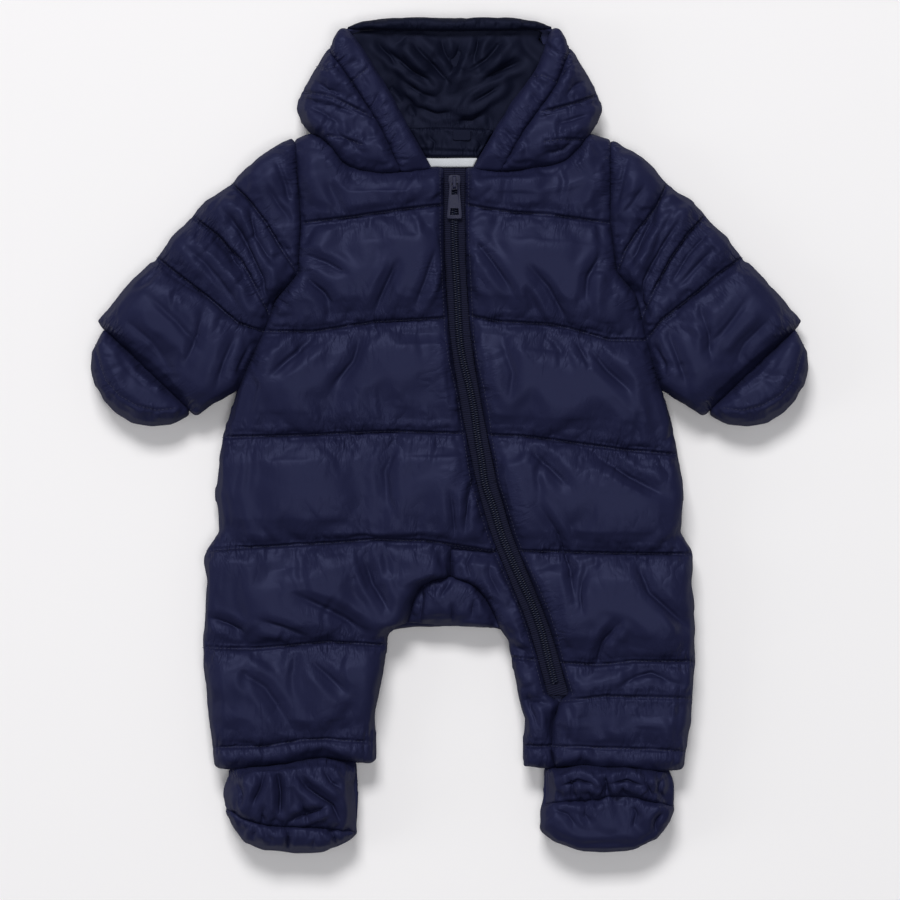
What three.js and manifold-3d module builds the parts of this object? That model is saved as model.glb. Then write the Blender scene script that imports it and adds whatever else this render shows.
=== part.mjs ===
// A baby's padded snowsuit, laid flat on its back with the hood open and the booties closed.
// Millimetres: x to the viewer's right, y towards the hood, z up from the surface it lies on.
// Right and left in the names are the wearer's, so right is at negative x.
import * as THREE from "three";
import * as BufferGeometryUtils from "three/addons/utils/BufferGeometryUtils.js";
import Module from "manifold-3d";

const wasm = await Module();
wasm.setup();

// Driving dimensions
const GAP = 0.4;                 // left open along a seam
const LOWER_TOP = 20;            // inner face of the layers that lie on the surface
const UPPER_BASE = 20.3;         // inner face of the layers that lie on top of them
const HOOD_LOWER_TOP = 17;       // the hood's lower layer leaves room for its lining
const LINING_BASE = 17.3;
const SEAM_EDGE = 3;             // a padded wall's thickness where it is sewn
const SIDE_EDGE = 6;             // at the armholes and the sides
const TOPSTITCH_EDGE = 6;        // and along the topstitched zip edges
const HOOD_EDGE = 13;            // the hood's sides and bands meet nearly at their full thickness
const OPENING_EDGE = 10;         // the band's rolled edge round the face
const BODY_LOFT = 23;            // a padded wall's full thickness
const BACK_LOFT = 27;            // before the surface presses it flat at LOWER_TOP
const SLEEVE_LOFT = 22;
const HOOD_LOFT = 22;
const BAND_LOFT = 19;
const BOOT_LOFT = 25;
const MITTEN_LOFT = 19;
const INNER_LEG_LOFT = 17;
const GUSSET_LOFT = 14;
const SOLE_LOFT = 21;
const UNDER_LOFT = 24;           // lower layers of the hood, mittens and booties, before pressing
const QUILT_ROUND = 28;          // from a quilting stitch to the wadding's full thickness
const SMALL_ROUND = 12;          // the same, from the edge of a small piece
const QUILT_LOW = 0.26;          // share of the loft that is left under a quilting stitch
const FOLD_LOW = 0.6;            // and at a soft fold across the wadding
const SEAM_LOW = 0.5;            // and at a seam between two small padded pieces
const TOE_EDGE = 13;             // the sole's thickness at that seam
const ZIP_HALF = 9.4;            // from the middle of the teeth to the topstitched edge
const CHAIN_WIDTH = 7;
const TAPE_THICK = 1.5;
const CHAIN_THICK = 2.6;

// The slanting zip, from neck to left leg: the middle of the teeth at each height
const ZIP = [
  { y: 222, x: 4 }, { y: 160, x: 4.2 }, { y: 120, x: 5.8 }, { y: 80, x: 9 }, { y: 40, x: 14.8 },
  { y: 0, x: 22.3 }, { y: -40, x: 31 }, { y: -80, x: 42.3 }, { y: -120, x: 58.5 },
  { y: -160, x: 74 }, { y: -216, x: 90 },
];
const ZIP_TOP = 217;
const ZIP_BOTTOM = -203;
const PATCH_BOTTOM = -212;

// Corner points of the seams that two pieces share
const ARMHOLE_RIGHT = [[-126, 240], [-121, 172], [-123, 131], [-141, 110], [-151, 84], [-171, 39]];
const ARMHOLE_LEFT = [[131, 240], [131, 172], [136, 132], [152, 113], [160, 77], [171, 39]];
const NECK_RIGHT = [
  [-113, 245], [-104, 241.5], [-97, 236.5], [-89, 223], [-82, 218.5], [-75, 216], [-58, 213.3], [-39, 214],
];
const NECK_RIGHT_BAND = [[-39, 214], [-27, 216], [-15, 217.5]];
const NECK_LEFT_BAND = [[19, 217.5], [30, 216.3], [41, 215.5]];
const NECK_LEFT = [
  [41, 215.5], [56, 216.2], [70, 218], [84, 219.8], [95, 223], [104, 232], [109, 238.5], [113, 245],
];
// The back of the neck, from its middle to each shoulder
const NAPE = [0, 230];
const NAPE_RIGHT = [NAPE, [-88, 232], ...NECK_RIGHT.slice(0, 3).reverse()];
const NAPE_LEFT = [NAPE, [90, 230.5], ...NECK_LEFT.slice(-3)];
const GUSSET_TOP = [[-23, -121], [-9, -117], [1, -115.5], [11, -117.5], [21, -122.5]];
const GUSSET_FOOT = [[-35, -152.5], [41.5, -157]];
const HEM_RIGHT = [
  [-190.5, -270], [-178, -271], [-150, -269], [-130, -266], [-115, -263.5], [-100, -262.5],
  [-85, -265], [-61, -266.5],
];
const HEM_LEFT = [[85.3, -270], [100, -268.5], [140, -269.5], [160, -272], [190.5, -272]];

const mix = (a, b, share) => a + (b - a) * share;
const mixPoint = (a, b, share) => [mix(a[0], b[0], share), mix(a[1], b[1], share)];
const distance = (a, b) => Math.hypot(a[0] - b[0], a[1] - b[1]);

// Where the zip runs, smoothly between the stations of its table
function zipX(y) {
  const last = ZIP.length - 1;
  let at = 0;
  while (at < last - 1 && y < ZIP[at + 1].y) at++;
  const [a, b] = [ZIP[at], ZIP[at + 1]];
  const slope = (i) => {
    const [before, after] = [ZIP[Math.max(i - 1, 0)], ZIP[Math.min(i + 1, last)]];
    return (after.x - before.x) / (after.y - before.y);
  };
  const span = b.y - a.y;
  const s = Math.min(Math.max((y - a.y) / span, 0), 1);
  const ease = s * s * (3 - 2 * s);
  return mix(a.x, b.x, ease) + span * (slope(at) * s * (1 - s) ** 2 - slope(at + 1) * s * s * (1 - s));
}
const zipRightEdge = (y) => (y > PATCH_BOTTOM - 1 ? zipX(y) - ZIP_HALF : undefined);
const zipLeftEdge = (y) => (y > PATCH_BOTTOM - 1 ? zipX(y) + ZIP_HALF : undefined);
const rightOfZip = (y) => [zipX(y) - ZIP_HALF, y];
const leftOfZip = (y) => [zipX(y) + ZIP_HALF, y];

// Shares of a line's length at its own points, with steps cut no longer than `step` mm
function sharesOf(line, step) {
  const whole = line.slice(1).reduce((sum, point, i) => sum + distance(line[i], point), 0);
  const shares = [0];
  let run = 0;
  for (let i = 1; i < line.length; i++) {
    const piece = distance(line[i - 1], line[i]);
    const cuts = Math.max(1, Math.round(piece / step));
    for (let k = 1; k <= cuts; k++) shares.push((run + (piece * k) / cuts) / whole);
    run += piece;
  }
  shares[shares.length - 1] = 1;
  return shares;
}

// Two more shares close to each end, where the padding turns over the edge
const TURN = [0.02, 0.055];
const withTurns = (shares) => [
  0, ...TURN, ...shares.filter((share) => Math.min(share, 1 - share) > TURN[1] + 0.02),
  ...TURN.map((share) => 1 - share).reverse(), 1,
];

function pointAt(line, share) {
  const pieces = line.slice(1).map((point, i) => distance(line[i], point));
  let left = share * pieces.reduce((sum, piece) => sum + piece, 0);
  for (let i = 0; i < pieces.length; i++) {
    if (left <= pieces[i] + 1e-9 || i === pieces.length - 1) {
      return mixPoint(line[i], line[i + 1], Math.min(left / pieces[i], 1));
    }
    left -= pieces[i];
  }
}

// Stations between the rows of a table: rows with `low` are stitched or sewn, the others only shape the outline
function stationsOf(rows, linesOf, perBand) {
  const lows = rows.map((row, i) => row.low ?? (i === 0 || i === rows.length - 1 ? 0 : undefined));
  const stations = [];
  for (let from = 0; from < rows.length - 1;) {
    let to = from + 1;
    while (lows[to] === undefined) to++;
    const middle = (row) => pointAt(linesOf(row), 0.5);
    const runs = [0];
    for (let i = from; i < to; i++) {
      runs.push(runs.at(-1) + distance(middle(rows[i]), middle(rows[i + 1])));
    }
    const height = runs.at(-1);
    const fixed = runs.map((run) => run / height);
    const even = Array.from({ length: perBand - 1 }, (_, i) => (
      (1 - Math.cos((Math.PI * (i + 1)) / perBand)) / 2));
    const free = even.filter((t) => fixed.every((f) => Math.abs(f - t) > 0.3 / perBand));
    const all = [...fixed, ...free].sort((a, b) => a - b);
    for (const t of all) {
      if (t === 0 && from > 0) continue;
      let k = 0;
      while (k < fixed.length - 2 && t > fixed[k + 1] + 1e-9) k++;
      const share = (t - fixed[k]) / (fixed[k + 1] - fixed[k]);
      const low = mix(lows[from], lows[to], t);
      stations.push({ above: rows[from + k], below: rows[from + k + 1], share, t, height, low });
    }
    from = to;
  }
  return stations;
}

// A quarter-round rise over `width` mm from an edge
const rise = (run, width) => Math.sqrt(Math.max(0, 1 - (1 - Math.min(run / width, 1)) ** 2));

// How far the creases of a table press the wadding down at a point
function creaseDepth(creases, x, y) {
  let depth = 0;
  for (const { x1, y1, x2, y2, deep, wide } of creases) {
    const length = Math.hypot(x2 - x1, y2 - y1);
    const along = ((x - x1) * (x2 - x1) + (y - y1) * (y2 - y1)) / (length * length);
    const s = Math.min(Math.max(along, 0), 1);
    const off = Math.hypot(x - mix(x1, x2, s), y - mix(y1, y2, s));
    depth += deep * Math.exp(-((off / wide) ** 2)) * Math.sin(Math.PI * mix(0.12, 0.88, s));
  }
  return depth;
}

// A grid of points with the wadding's thickness at each: one ring for each station, from `start` to `end`
function paddedGrid(stations, linesOf, options) {
  const { shares, loft, roundY = QUILT_ROUND, start, end, creases = [], startEdge, endEdge } = options;
  const rings = stations.map(({ above, below, share }) => shares.map((f) => mixPoint(
    pointAt(linesOf(above), f), pointAt(linesOf(below), f), share)));
  rings.forEach((ring) => {
    const last = ring.length - 1;
    const edgeStart = startEdge?.(ring[0][1]);
    const edgeEnd = endEdge?.(ring[last][1]);
    const shiftStart = edgeStart === undefined ? 0 : edgeStart - ring[0][0];
    const shiftEnd = edgeEnd === undefined ? 0 : edgeEnd - ring[last][0];
    ring.forEach((point, c) => { point[0] += shiftStart * (1 - shares[c]) + shiftEnd * shares[c]; });
  });
  const inward = (point, towards) => mixPoint(point, towards, (GAP / 2) / distance(point, towards));
  const sew = (ringA, ringB) => ringA.map((point, c) => inward(point, ringB[c]));
  const [first, tail] = [0, rings.length - 1];
  const sewnFirst = sew(rings[first], rings[first + 1]);
  const sewnTail = sew(rings[tail], rings[tail - 1]);
  rings[first] = sewnFirst;
  rings[tail] = sewnTail;
  rings.forEach((ring) => {
    const last = ring.length - 1;
    if (start.edge > 0) ring[0] = inward(ring[0], ring[1]);
    if (end.edge > 0) ring[last] = inward(ring[last], ring[last - 1]);
  });
  return rings.map((ring, r) => {
    const { t, height, low } = stations[r];
    const runs = [0];
    for (let c = 1; c < ring.length; c++) runs.push(runs[c - 1] + distance(ring[c - 1], ring[c]));
    return ring.map(([x, y], c) => {
      const fromStart = runs[c];
      const fromEnd = runs.at(-1) - runs[c];
      const across = rise(fromStart, start.round) * rise(fromEnd, end.round);
      const along = low + (1 - low) * rise(Math.min(t, 1 - t) * height, roundY);
      const edge = mix(start.edge, end.edge, shares[c]);
      const dome = 0.9 + 0.1 * Math.sin(Math.PI * t);
      const full = edge + (loft - edge) * across * along * dome;
      const pressed = full - creaseDepth(creases, x, y) * across * along;
      return { x, y, thick: Math.max(pressed, Math.min(edge, full)) };
    });
  });
}

// A closed mesh from loose triangles: shared corners are merged and every face is turned outwards
function closedMesh(triangles) {
  const corners = [];
  const index = new Map();
  const faces = [];
  for (const triangle of triangles) {
    const face = triangle.map((point) => {
      const key = point.map((value) => Math.round(value * 1000)).join(" ");
      if (!index.has(key)) index.set(key, corners.push(point) - 1);
      return index.get(key);
    });
    if (new Set(face).size === 3) faces.push(face);
  }
  const byEdge = new Map();
  faces.forEach((face, f) => face.forEach((a, i) => {
    const b = face[(i + 1) % 3];
    const key = a < b ? `${a} ${b}` : `${b} ${a}`;
    byEdge.set(key, [...(byEdge.get(key) ?? []), { f, forward: a < b }]);
  }));
  const turned = new Array(faces.length);
  turned[0] = false;
  const queue = [0];
  while (queue.length) {
    const f = queue.pop();
    faces[f].forEach((a, i) => {
      const b = faces[f][(i + 1) % 3];
      const pair = byEdge.get(a < b ? `${a} ${b}` : `${b} ${a}`);
      if (pair.length !== 2) throw new Error(`${pair.length} faces at ${corners[a]} ${corners[b]}`);
      const [me, other] = pair[0].f === f ? pair : [pair[1], pair[0]];
      if (turned[other.f] !== undefined) return;
      turned[other.f] = me.forward === other.forward ? !turned[f] : turned[f];
      queue.push(other.f);
    });
  }
  const indices = faces.map(([a, b, c], f) => (turned[f] ? [a, c, b] : [a, b, c]));
  const volume = indices.reduce((sum, [a, b, c]) => {
    const [p, q, s] = [a, b, c].map((i) => new THREE.Vector3(...corners[i]));
    return sum + p.dot(q.cross(s));
  }, 0);
  const outward = volume > 0 ? indices : indices.map(([a, b, c]) => [a, c, b]);
  const geometry = new THREE.BufferGeometry();
  geometry.setAttribute("position", new THREE.Float32BufferAttribute(corners.flat(), 3));
  geometry.setIndex(outward.flat());
  return geometry;
}

const quad = (a, b, c, d) => [[a, b, c], [a, c, d]];

// Quads between the rings of a grid of 3-D points
function skin(grid) {
  const triangles = [];
  for (let r = 0; r < grid.length - 1; r++) {
    for (let c = 0; c < grid[r].length - 1; c++) {
      triangles.push(...quad(grid[r][c], grid[r][c + 1], grid[r + 1][c + 1], grid[r + 1][c]));
    }
  }
  return triangles;
}

// A flat face inside a closed line of 3-D points that all have one height
function flatFace(loop) {
  const flat = loop.map(([x, y]) => new THREE.Vector2(x, y));
  return THREE.ShapeUtils.triangulateShape(flat, []).map((face) => face.map((i) => loop[i]));
}

const wall = (lineA, lineB) => skin([lineA, lineB]);
const column = (grid, c) => grid.map((ring) => ring[c]);

// The rim of a grid, once round
const rimOf = (grid) => [
  ...grid[0], ...column(grid, grid[0].length - 1).slice(1),
  ...grid.at(-1).slice(0, -1).reverse(), ...column(grid, 0).slice(1, -1).reverse(),
];

// One padded wall: its outer side is puffed, its inner side is plain at height `base`; `up` is 1 or -1
function paddedWall(rows, options) {
  const { base, up = 1, perBand = 6 } = options;
  const lineOf = (row) => row.line;
  const grid = paddedGrid(stationsOf(rows, lineOf, perBand), lineOf, options);
  const outer = grid.map((ring) => ring.map(({ x, y, thick }) => {
    const z = base + up * thick + (options.relief?.(x, y) ?? 0);
    return [x, y, Math.max(z, 0)];
  }));
  const rim = rimOf(outer);
  const inner = rim.map(([x, y]) => [x, y, base]);
  return closedMesh([...skin(outer), ...wall([...rim, rim[0]], [...inner, inner[0]]), ...flatFace(inner)]);
}

// A padded piece folded round a rim: an upper and a lower wall join there, with a flat slit between them.
// Each row has `upper` and `lower`, two lines that both end at the row's point on the rim.
function foldedPiece(rows, options) {
  const { base = UPPER_BASE, lowerTop = LOWER_TOP, rimRound, perBand } = options;
  const stations = stationsOf(rows, (row) => row.lower, perBand);
  const shareLists = { upper: options.upperShares, lower: options.lowerShares };
  const rimZ = (base + lowerTop) / 2;
  const end = { edge: 0, round: rimRound };
  const grids = {};
  for (const side of ["upper", "lower"]) {
    const shares = shareLists[side];
    const [start, loft] = [options[`${side}Start`], options[`${side}Loft`]];
    grids[side] = paddedGrid(stations, (row) => row[side], { ...options, shares, start, end, loft });
  }
  const rims = column(grids.upper, grids.upper[0].length - 1);
  const place = (side, from, up) => grids[side].map((ring, r) => ring.map(({ x, y, thick }, c) => {
    if (c === ring.length - 1) return [rims[r].x, rims[r].y, rimZ];
    const z = mix(from, rimZ, shareLists[side][c]) + up * thick;
    return [x, y, Math.max(z, 0)];
  }));
  const top = place("upper", base, 1);
  const low = place("lower", lowerTop, -1);
  const slit = (grid, z) => grid.map((ring) => ring.slice(0, -2).map(([x, y]) => [x, y, z]));
  const [slitTop, slitLow] = [slit(top, base), slit(low, lowerTop)];
  const [topEnd, lowEnd] = [slitTop[0].length - 1, slitLow[0].length - 1];
  const triangles = [...skin(top), ...skin(low)];
  for (const [outer, inner] of [[top, slitTop], [low, slitLow]]) {
    triangles.push(...wall(column(outer, 0), column(inner, 0)), ...flatFace(rimOf(inner)));
    for (const r of [0, outer.length - 1]) {
      triangles.push(...wall(outer[r].slice(0, inner[r].length), inner[r]));
    }
  }
  triangles.push(...wall(column(slitTop, topEnd), column(slitLow, lowEnd)));
  for (const r of [0, top.length - 1]) {
    const rim = top[r].at(-1);
    const nose = [top[r][topEnd], top[r][topEnd + 1], rim, low[r][lowEnd + 1], low[r][lowEnd]];
    const around = [...nose, slitLow[r][lowEnd], slitTop[r][topEnd]];
    const [nearX, nearY] = top[r][topEnd + 1];
    const centre = [nearX, nearY, rimZ];
    around.forEach((point, i) => triangles.push([centre, point, around[(i + 1) % around.length]]));
  }
  return closedMesh(triangles);
}

// Two solids joined into one
function join(first, ...others) {
  const solid = (geometry) => {
    const bare = geometry.clone();
    bare.deleteAttribute("normal");
    bare.deleteAttribute("uv");
    const merged = BufferGeometryUtils.mergeVertices(bare, 1e-4);
    return new wasm.Manifold(new wasm.Mesh({
      numProp: 3,
      vertProperties: new Float32Array(merged.attributes.position.array),
      triVerts: new Uint32Array(merged.index.array),
    }));
  };
  const mesh = others.reduce((sum, geometry) => sum.add(solid(geometry)), solid(first)).getMesh();
  const geometry = new THREE.BufferGeometry();
  geometry.setAttribute("position", new THREE.Float32BufferAttribute(mesh.vertProperties, 3));
  geometry.setIndex([...mesh.triVerts]);
  return geometry;
}

// A plate of even thickness with the given plan outline
function plate(points, low, high) {
  const shape = new THREE.Shape(points.map(([x, y]) => new THREE.Vector2(x, y)));
  const geometry = new THREE.ExtrudeGeometry(shape, { depth: high - low, bevelEnabled: false });
  return geometry.translate(0, 0, low);
}

const SHELL = { color: 0x272a46, roughness: 0.42, metalness: 0 };
const LINING = { color: 0x161a2b, roughness: 0.5, metalness: 0 };
const PALE = { color: 0xc9ccd2, roughness: 0.7, metalness: 0 };
const TAPE = { color: 0x1f2338, roughness: 0.75, metalness: 0 };
const ZIP_NAVY = { color: 0x23283f, roughness: 0.35, metalness: 0.1 };

const suit = new THREE.Group();
function addPiece(name, finish, geometry) {
  const mesh = new THREE.Mesh(geometry, new THREE.MeshStandardMaterial(finish));
  mesh.name = name;
  suit.add(mesh);
  return mesh;
}

const SIDE = { edge: SIDE_EDGE, round: 20 };
const UNDER_SIDE = { edge: SEAM_EDGE, round: 26 };
const AT_ZIP = { edge: TOPSTITCH_EDGE, round: 11 };

// Large creases of the fronts: troughs from (x1, y1) to (x2, y2)
const CREASES_RIGHT = [
  { x1: -40, y1: 145, x2: -60, y2: 100, deep: 3, wide: 9 },
  { x1: -118, y1: 140, x2: -75, y2: 118, deep: 3, wide: 9 },
  { x1: -105, y1: 85, x2: -150, y2: 45, deep: 3, wide: 10 },
  { x1: -135, y1: -125, x2: -60, y2: -165, deep: 4, wide: 10 },
  { x1: -72, y1: -95, x2: -48, y2: -145, deep: 4, wide: 10 },
  { x1: -117, y1: -182, x2: -80, y2: -212, deep: 4, wide: 9 },
  { x1: -198, y1: -147, x2: -163, y2: -161, deep: 3, wide: 8 },
];
const CREASES_LEFT = [
  { x1: 60, y1: 140, x2: 100, y2: 85, deep: 3, wide: 10 },
  { x1: 108, y1: 75, x2: 150, y2: 32, deep: 4, wide: 10 },
  { x1: 60, y1: -8, x2: 102, y2: -48, deep: 4, wide: 10 },
  { x1: 112, y1: -12, x2: 178, y2: -52, deep: 4, wide: 9 },
  { x1: 72, y1: -52, x2: 100, y2: -145, deep: 4, wide: 10 },
  { x1: 150, y1: -100, x2: 198, y2: -160, deep: 4, wide: 9 },
  { x1: 140, y1: -150, x2: 118, y2: -192, deep: 4, wide: 9 },
];

// Right front: neck to hip beside the zip, and on down the right leg
const [armR0, armR1, armR2, armR3, armR4, armR5] = ARMHOLE_RIGHT;
const RIGHT_BODICE = [
  { line: [armR0, ...NECK_RIGHT, ...NECK_RIGHT_BAND.slice(1), rightOfZip(ZIP_TOP)] },
  { line: [armR1, [-80, 177], [-40, 183], rightOfZip(187)], low: QUILT_LOW },
  { line: [armR2, rightOfZip(138)] },
  { line: [armR3, rightOfZip(117)] },
  { line: [armR4, [-110, 84], [-60, 92], rightOfZip(95)], low: QUILT_LOW },
  { line: [armR5, rightOfZip(47)] },
  { line: [[-180, 12], rightOfZip(18)] },
  { line: [[-184, -2], [-115, 0], [-50, 3], rightOfZip(1)], low: QUILT_LOW },
  { line: [[-190, -48], rightOfZip(-43)] },
  { line: [[-186.5, -79], rightOfZip(-78)] },
  { line: [[-197, -94], [-170, -92], [-100, -88], [-60, -85], [-20, -86], [1, -89], rightOfZip(-95)],
    low: QUILT_LOW },
];
const RIGHT_LEG = [
  { line: [[-196.5, -93], [-170, -91], [-100, -87], [-60, -84], [-20, -85], [0.7, -88]], low: QUILT_LOW },
  { line: [[-199, -101], [1, -105]] },
  { line: [[-197.5, -113], GUSSET_TOP[2]] },
  { line: [[-197, -120], GUSSET_TOP[1]] },
  { line: [[-197.5, -128], GUSSET_TOP[0]] },
  { line: [[-198, -138], [-30, -135]] },
  { line: [[-199, -152], GUSSET_FOOT[0]] },
  { line: [[-199.5, -157], [-46, -155.8]] },
  { line: [[-200, -163], [-51.5, -163]] },
  { line: [[-200, -173], [-160, -174], [-120, -170], [-100, -168], [-51, -171]], low: QUILT_LOW },
  { line: [[-198.5, -198], [-55, -196]] },
  { line: [[-195, -230], [-62, -228]] },
  { line: [[-192, -254], [-150, -253], [-120, -248], [-100, -247], [-61, -250]], low: 0.3 },
  { line: HEM_RIGHT },
];
const FRONT_STEP = 14;
const rightFront = { base: UPPER_BASE, loft: BODY_LOFT, start: SIDE, creases: CREASES_RIGHT };
addPiece("front_right", SHELL, join(
  paddedWall(RIGHT_BODICE, {
    ...rightFront, end: AT_ZIP, endEdge: zipRightEdge,
    shares: withTurns(sharesOf(RIGHT_BODICE[0].line, FRONT_STEP)),
  }),
  paddedWall(RIGHT_LEG, { ...rightFront, end: SIDE, shares: withTurns(sharesOf(HEM_RIGHT, FRONT_STEP)) }),
));

// Left front: neck to hem outside the zip, then outside the seam that goes on below it
const [armL0, armL1, armL2, armL3, armL4, armL5] = ARMHOLE_LEFT;
const LEFT_FRONT = [
  { line: [leftOfZip(ZIP_TOP), ...NECK_LEFT_BAND, ...NECK_LEFT.slice(1), armL0] },
  { line: [leftOfZip(187), [30, 184], [50, 181], [80, 179], armL1], low: QUILT_LOW },
  { line: [leftOfZip(138), armL2] },
  { line: [leftOfZip(117), armL3] },
  { line: [leftOfZip(97), [40, 92], [80, 90], [100, 86], [130, 77], armL4], low: QUILT_LOW },
  { line: [leftOfZip(42), armL5] },
  { line: [leftOfZip(18), [180, 12]] },
  { line: [leftOfZip(0), [60, -1], [90, -5], [140, -12], [185, -16]], low: QUILT_LOW },
  { line: [leftOfZip(-40), [190, -48]] },
  { line: [leftOfZip(-78), [186.5, -79]] },
  { line: [leftOfZip(-94), [120, -96], [198, -97]], low: QUILT_LOW },
  { line: [leftOfZip(-118), [197, -120]] },
  { line: [leftOfZip(-150), [199, -152]] },
  { line: [leftOfZip(-185), [120, -187], [150, -184], [199.5, -184]], low: QUILT_LOW },
  { line: [leftOfZip(-211), [125, -205], [198, -200]] },
  { line: [[90.2, -216.5], [125, -212], [197, -214]], low: FOLD_LOW },
  { line: [[84.3, -235], [196, -233]] },
  { line: [[83.3, -253], [150, -255], [191.5, -257]], low: 0.3 },
  { line: HEM_LEFT },
];
addPiece("front_left", SHELL, paddedWall(LEFT_FRONT, {
  base: UPPER_BASE, loft: BODY_LOFT, start: AT_ZIP, end: SIDE, startEdge: zipLeftEdge, creases: CREASES_LEFT,
  shares: withTurns(sharesOf(LEFT_FRONT[0].line, FRONT_STEP)),
}));

// Inner front of the left leg, between the centre seam, the gusset and the zip
const LEFT_LEG_INNER = [
  { line: [[1, -89], rightOfZip(-95)] },
  { line: [[1, -105], rightOfZip(-108)] },
  { line: [GUSSET_TOP[2], rightOfZip(-117)] },
  { line: [GUSSET_TOP[3], rightOfZip(-121)] },
  { line: [GUSSET_TOP[4], rightOfZip(-128)] },
  { line: [[30, -133], rightOfZip(-137)] },
  { line: [[37.5, -147], rightOfZip(-149)] },
  { line: [GUSSET_FOOT[1], rightOfZip(-158.5)] },
  { line: [[48, -167], rightOfZip(-170)] },
  { line: [[51, -180.5], rightOfZip(-184)], low: QUILT_LOW },
  { line: [[54.5, -198], rightOfZip(-200)] },
  { line: [[57, -210], rightOfZip(-212.6)] },
  { line: [[58.5, -217], [90.2, -216.5]], low: FOLD_LOW },
  { line: [[62, -232], [84.3, -235]] },
  { line: [[61, -253], [83.3, -253]], low: 0.3 },
  { line: [[61, -269], [75, -270], HEM_LEFT[0]] },
];
addPiece("leg_left_inner", SHELL, paddedWall(LEFT_LEG_INNER, {
  base: UPPER_BASE, loft: INNER_LEG_LOFT, start: { edge: SIDE_EDGE, round: SMALL_ROUND },
  end: { edge: TOPSTITCH_EDGE, round: 9 },
  endEdge: zipRightEdge, shares: [0, 0.1, 0.3, 0.58, 0.85, 1], perBand: 5,
}));

// Arched gusset at the crotch, lightly gathered
addPiece("crotch_gusset", SHELL, paddedWall([
  { line: GUSSET_TOP, low: SEAM_LOW },
  { line: [[-30, -135], [30, -133]] },
  { line: [[-32.6, -144], [37.5, -147]] },
  { line: GUSSET_FOOT },
], {
  base: UPPER_BASE, loft: GUSSET_LOFT, roundY: GUSSET_LOFT, start: { edge: SEAM_EDGE, round: SMALL_ROUND },
  end: { edge: SEAM_EDGE, round: SMALL_ROUND }, shares: sharesOf(GUSSET_TOP, 7), perBand: 5,
}));

// Back: one piece with both legs, quilted like the front and flat where it rests
const backWall = { base: LOWER_TOP, up: -1, loft: BACK_LOFT, start: UNDER_SIDE, end: UNDER_SIDE, roundY: 20 };
const BACK_STEP = 16;
const BACK_BODICE = [
  { line: [armR0, ...[...NAPE_RIGHT].reverse(), ...NAPE_LEFT.slice(1), armL0] },
  { line: [armR1, [0, 178], armL1], low: QUILT_LOW },
  { line: [armR2, armL2] },
  { line: [armR3, armL3] },
  { line: [armR4, [0, 90], armL4], low: QUILT_LOW },
  { line: [armR5, armL5] },
  { line: [[-180, 12], [180, 12]] },
  { line: [[-184, -2], [0, 0], [185, -16]], low: QUILT_LOW },
  { line: [[-190, -48], [190, -48]] },
  { line: [[-186.5, -79], [186.5, -79]] },
  { line: [[-197, -94], [0, -90], [198, -97]], low: QUILT_LOW },
  { line: [[-197, -120], [197, -120]] },
  { line: [[-200, -173], [-120, -168], [-60, -160], [-46, -155.8], [0, -154], [41.5, -157], [60, -165],
    [120, -180], [199.5, -184]], low: QUILT_LOW },
];
const BACK_LEG_RIGHT = [
  { line: [[-200, -172], [-120, -167], [-60, -159], [-50.5, -157.6]], low: QUILT_LOW },
  { line: [[-199, -190], [-53, -183]] },
  { line: [[-195, -230], [-62, -228]] },
  { line: [[-192, -254], [-150, -253], [-120, -248], [-100, -247], [-61, -250]], low: 0.3 },
  { line: HEM_RIGHT },
];
const BACK_LEG_LEFT = [
  { line: [[48, -160.5], [60, -164], [120, -179], [199.5, -183]], low: QUILT_LOW },
  { line: [[54, -198], [198.5, -204]] },
  { line: [[62, -230], [195, -232]] },
  { line: [[61, -253], [150, -255], [191.5, -257]], low: 0.3 },
  { line: [[61, -269], [75, -270], ...HEM_LEFT] },
];
addPiece("back", SHELL, join(
  paddedWall(BACK_BODICE, { ...backWall, shares: withTurns(sharesOf(BACK_BODICE[0].line, BACK_STEP)) }),
  paddedWall(BACK_LEG_RIGHT, { ...backWall, shares: withTurns(sharesOf(HEM_RIGHT, BACK_STEP)) }),
  paddedWall(BACK_LEG_LEFT, { ...backWall, shares: withTurns(sharesOf(BACK_LEG_LEFT.at(-1).line, BACK_STEP)) }),
));

// Sleeves: one piece each, folded at the overarm, sewn at the armhole and under the arm.
// Each row of a table gives the point on the overarm fold, the one on the armhole or underarm seam, and `via`,
// the points that a stitch line bends through between them.
const SLEEVE_RIGHT = [
  { fold: [-131, 240.5], seam: armR0 },
  { fold: [-157, 224.5], seam: [-123.5, 206] },
  { fold: [-168, 214], seam: armR1 },
  { fold: [-177, 204], seam: armR2, via: [[-136, 150], [-149, 172], [-164, 192]], low: QUILT_LOW },
  { fold: [-197, 190.5], seam: armR3, via: [[-151, 131], [-161, 155], [-178, 176]] },
  { fold: [-209.5, 178], seam: [-146, 97], via: [[-156, 117], [-169, 142], [-188, 162]], low: QUILT_LOW },
  { fold: [-226, 161], seam: [-148.5, 90.5] },
  { fold: [-238, 144], seam: armR4, via: [[-172, 91], [-199, 114]], low: QUILT_LOW },
  { fold: [-257, 126], seam: [-160, 63.8] },
  { fold: [-270, 111], seam: armR5 },
  { fold: [-281, 99], seam: [-189, 28] },
  { fold: [-287, 91.5], seam: [-206, 15.5] },
];
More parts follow.
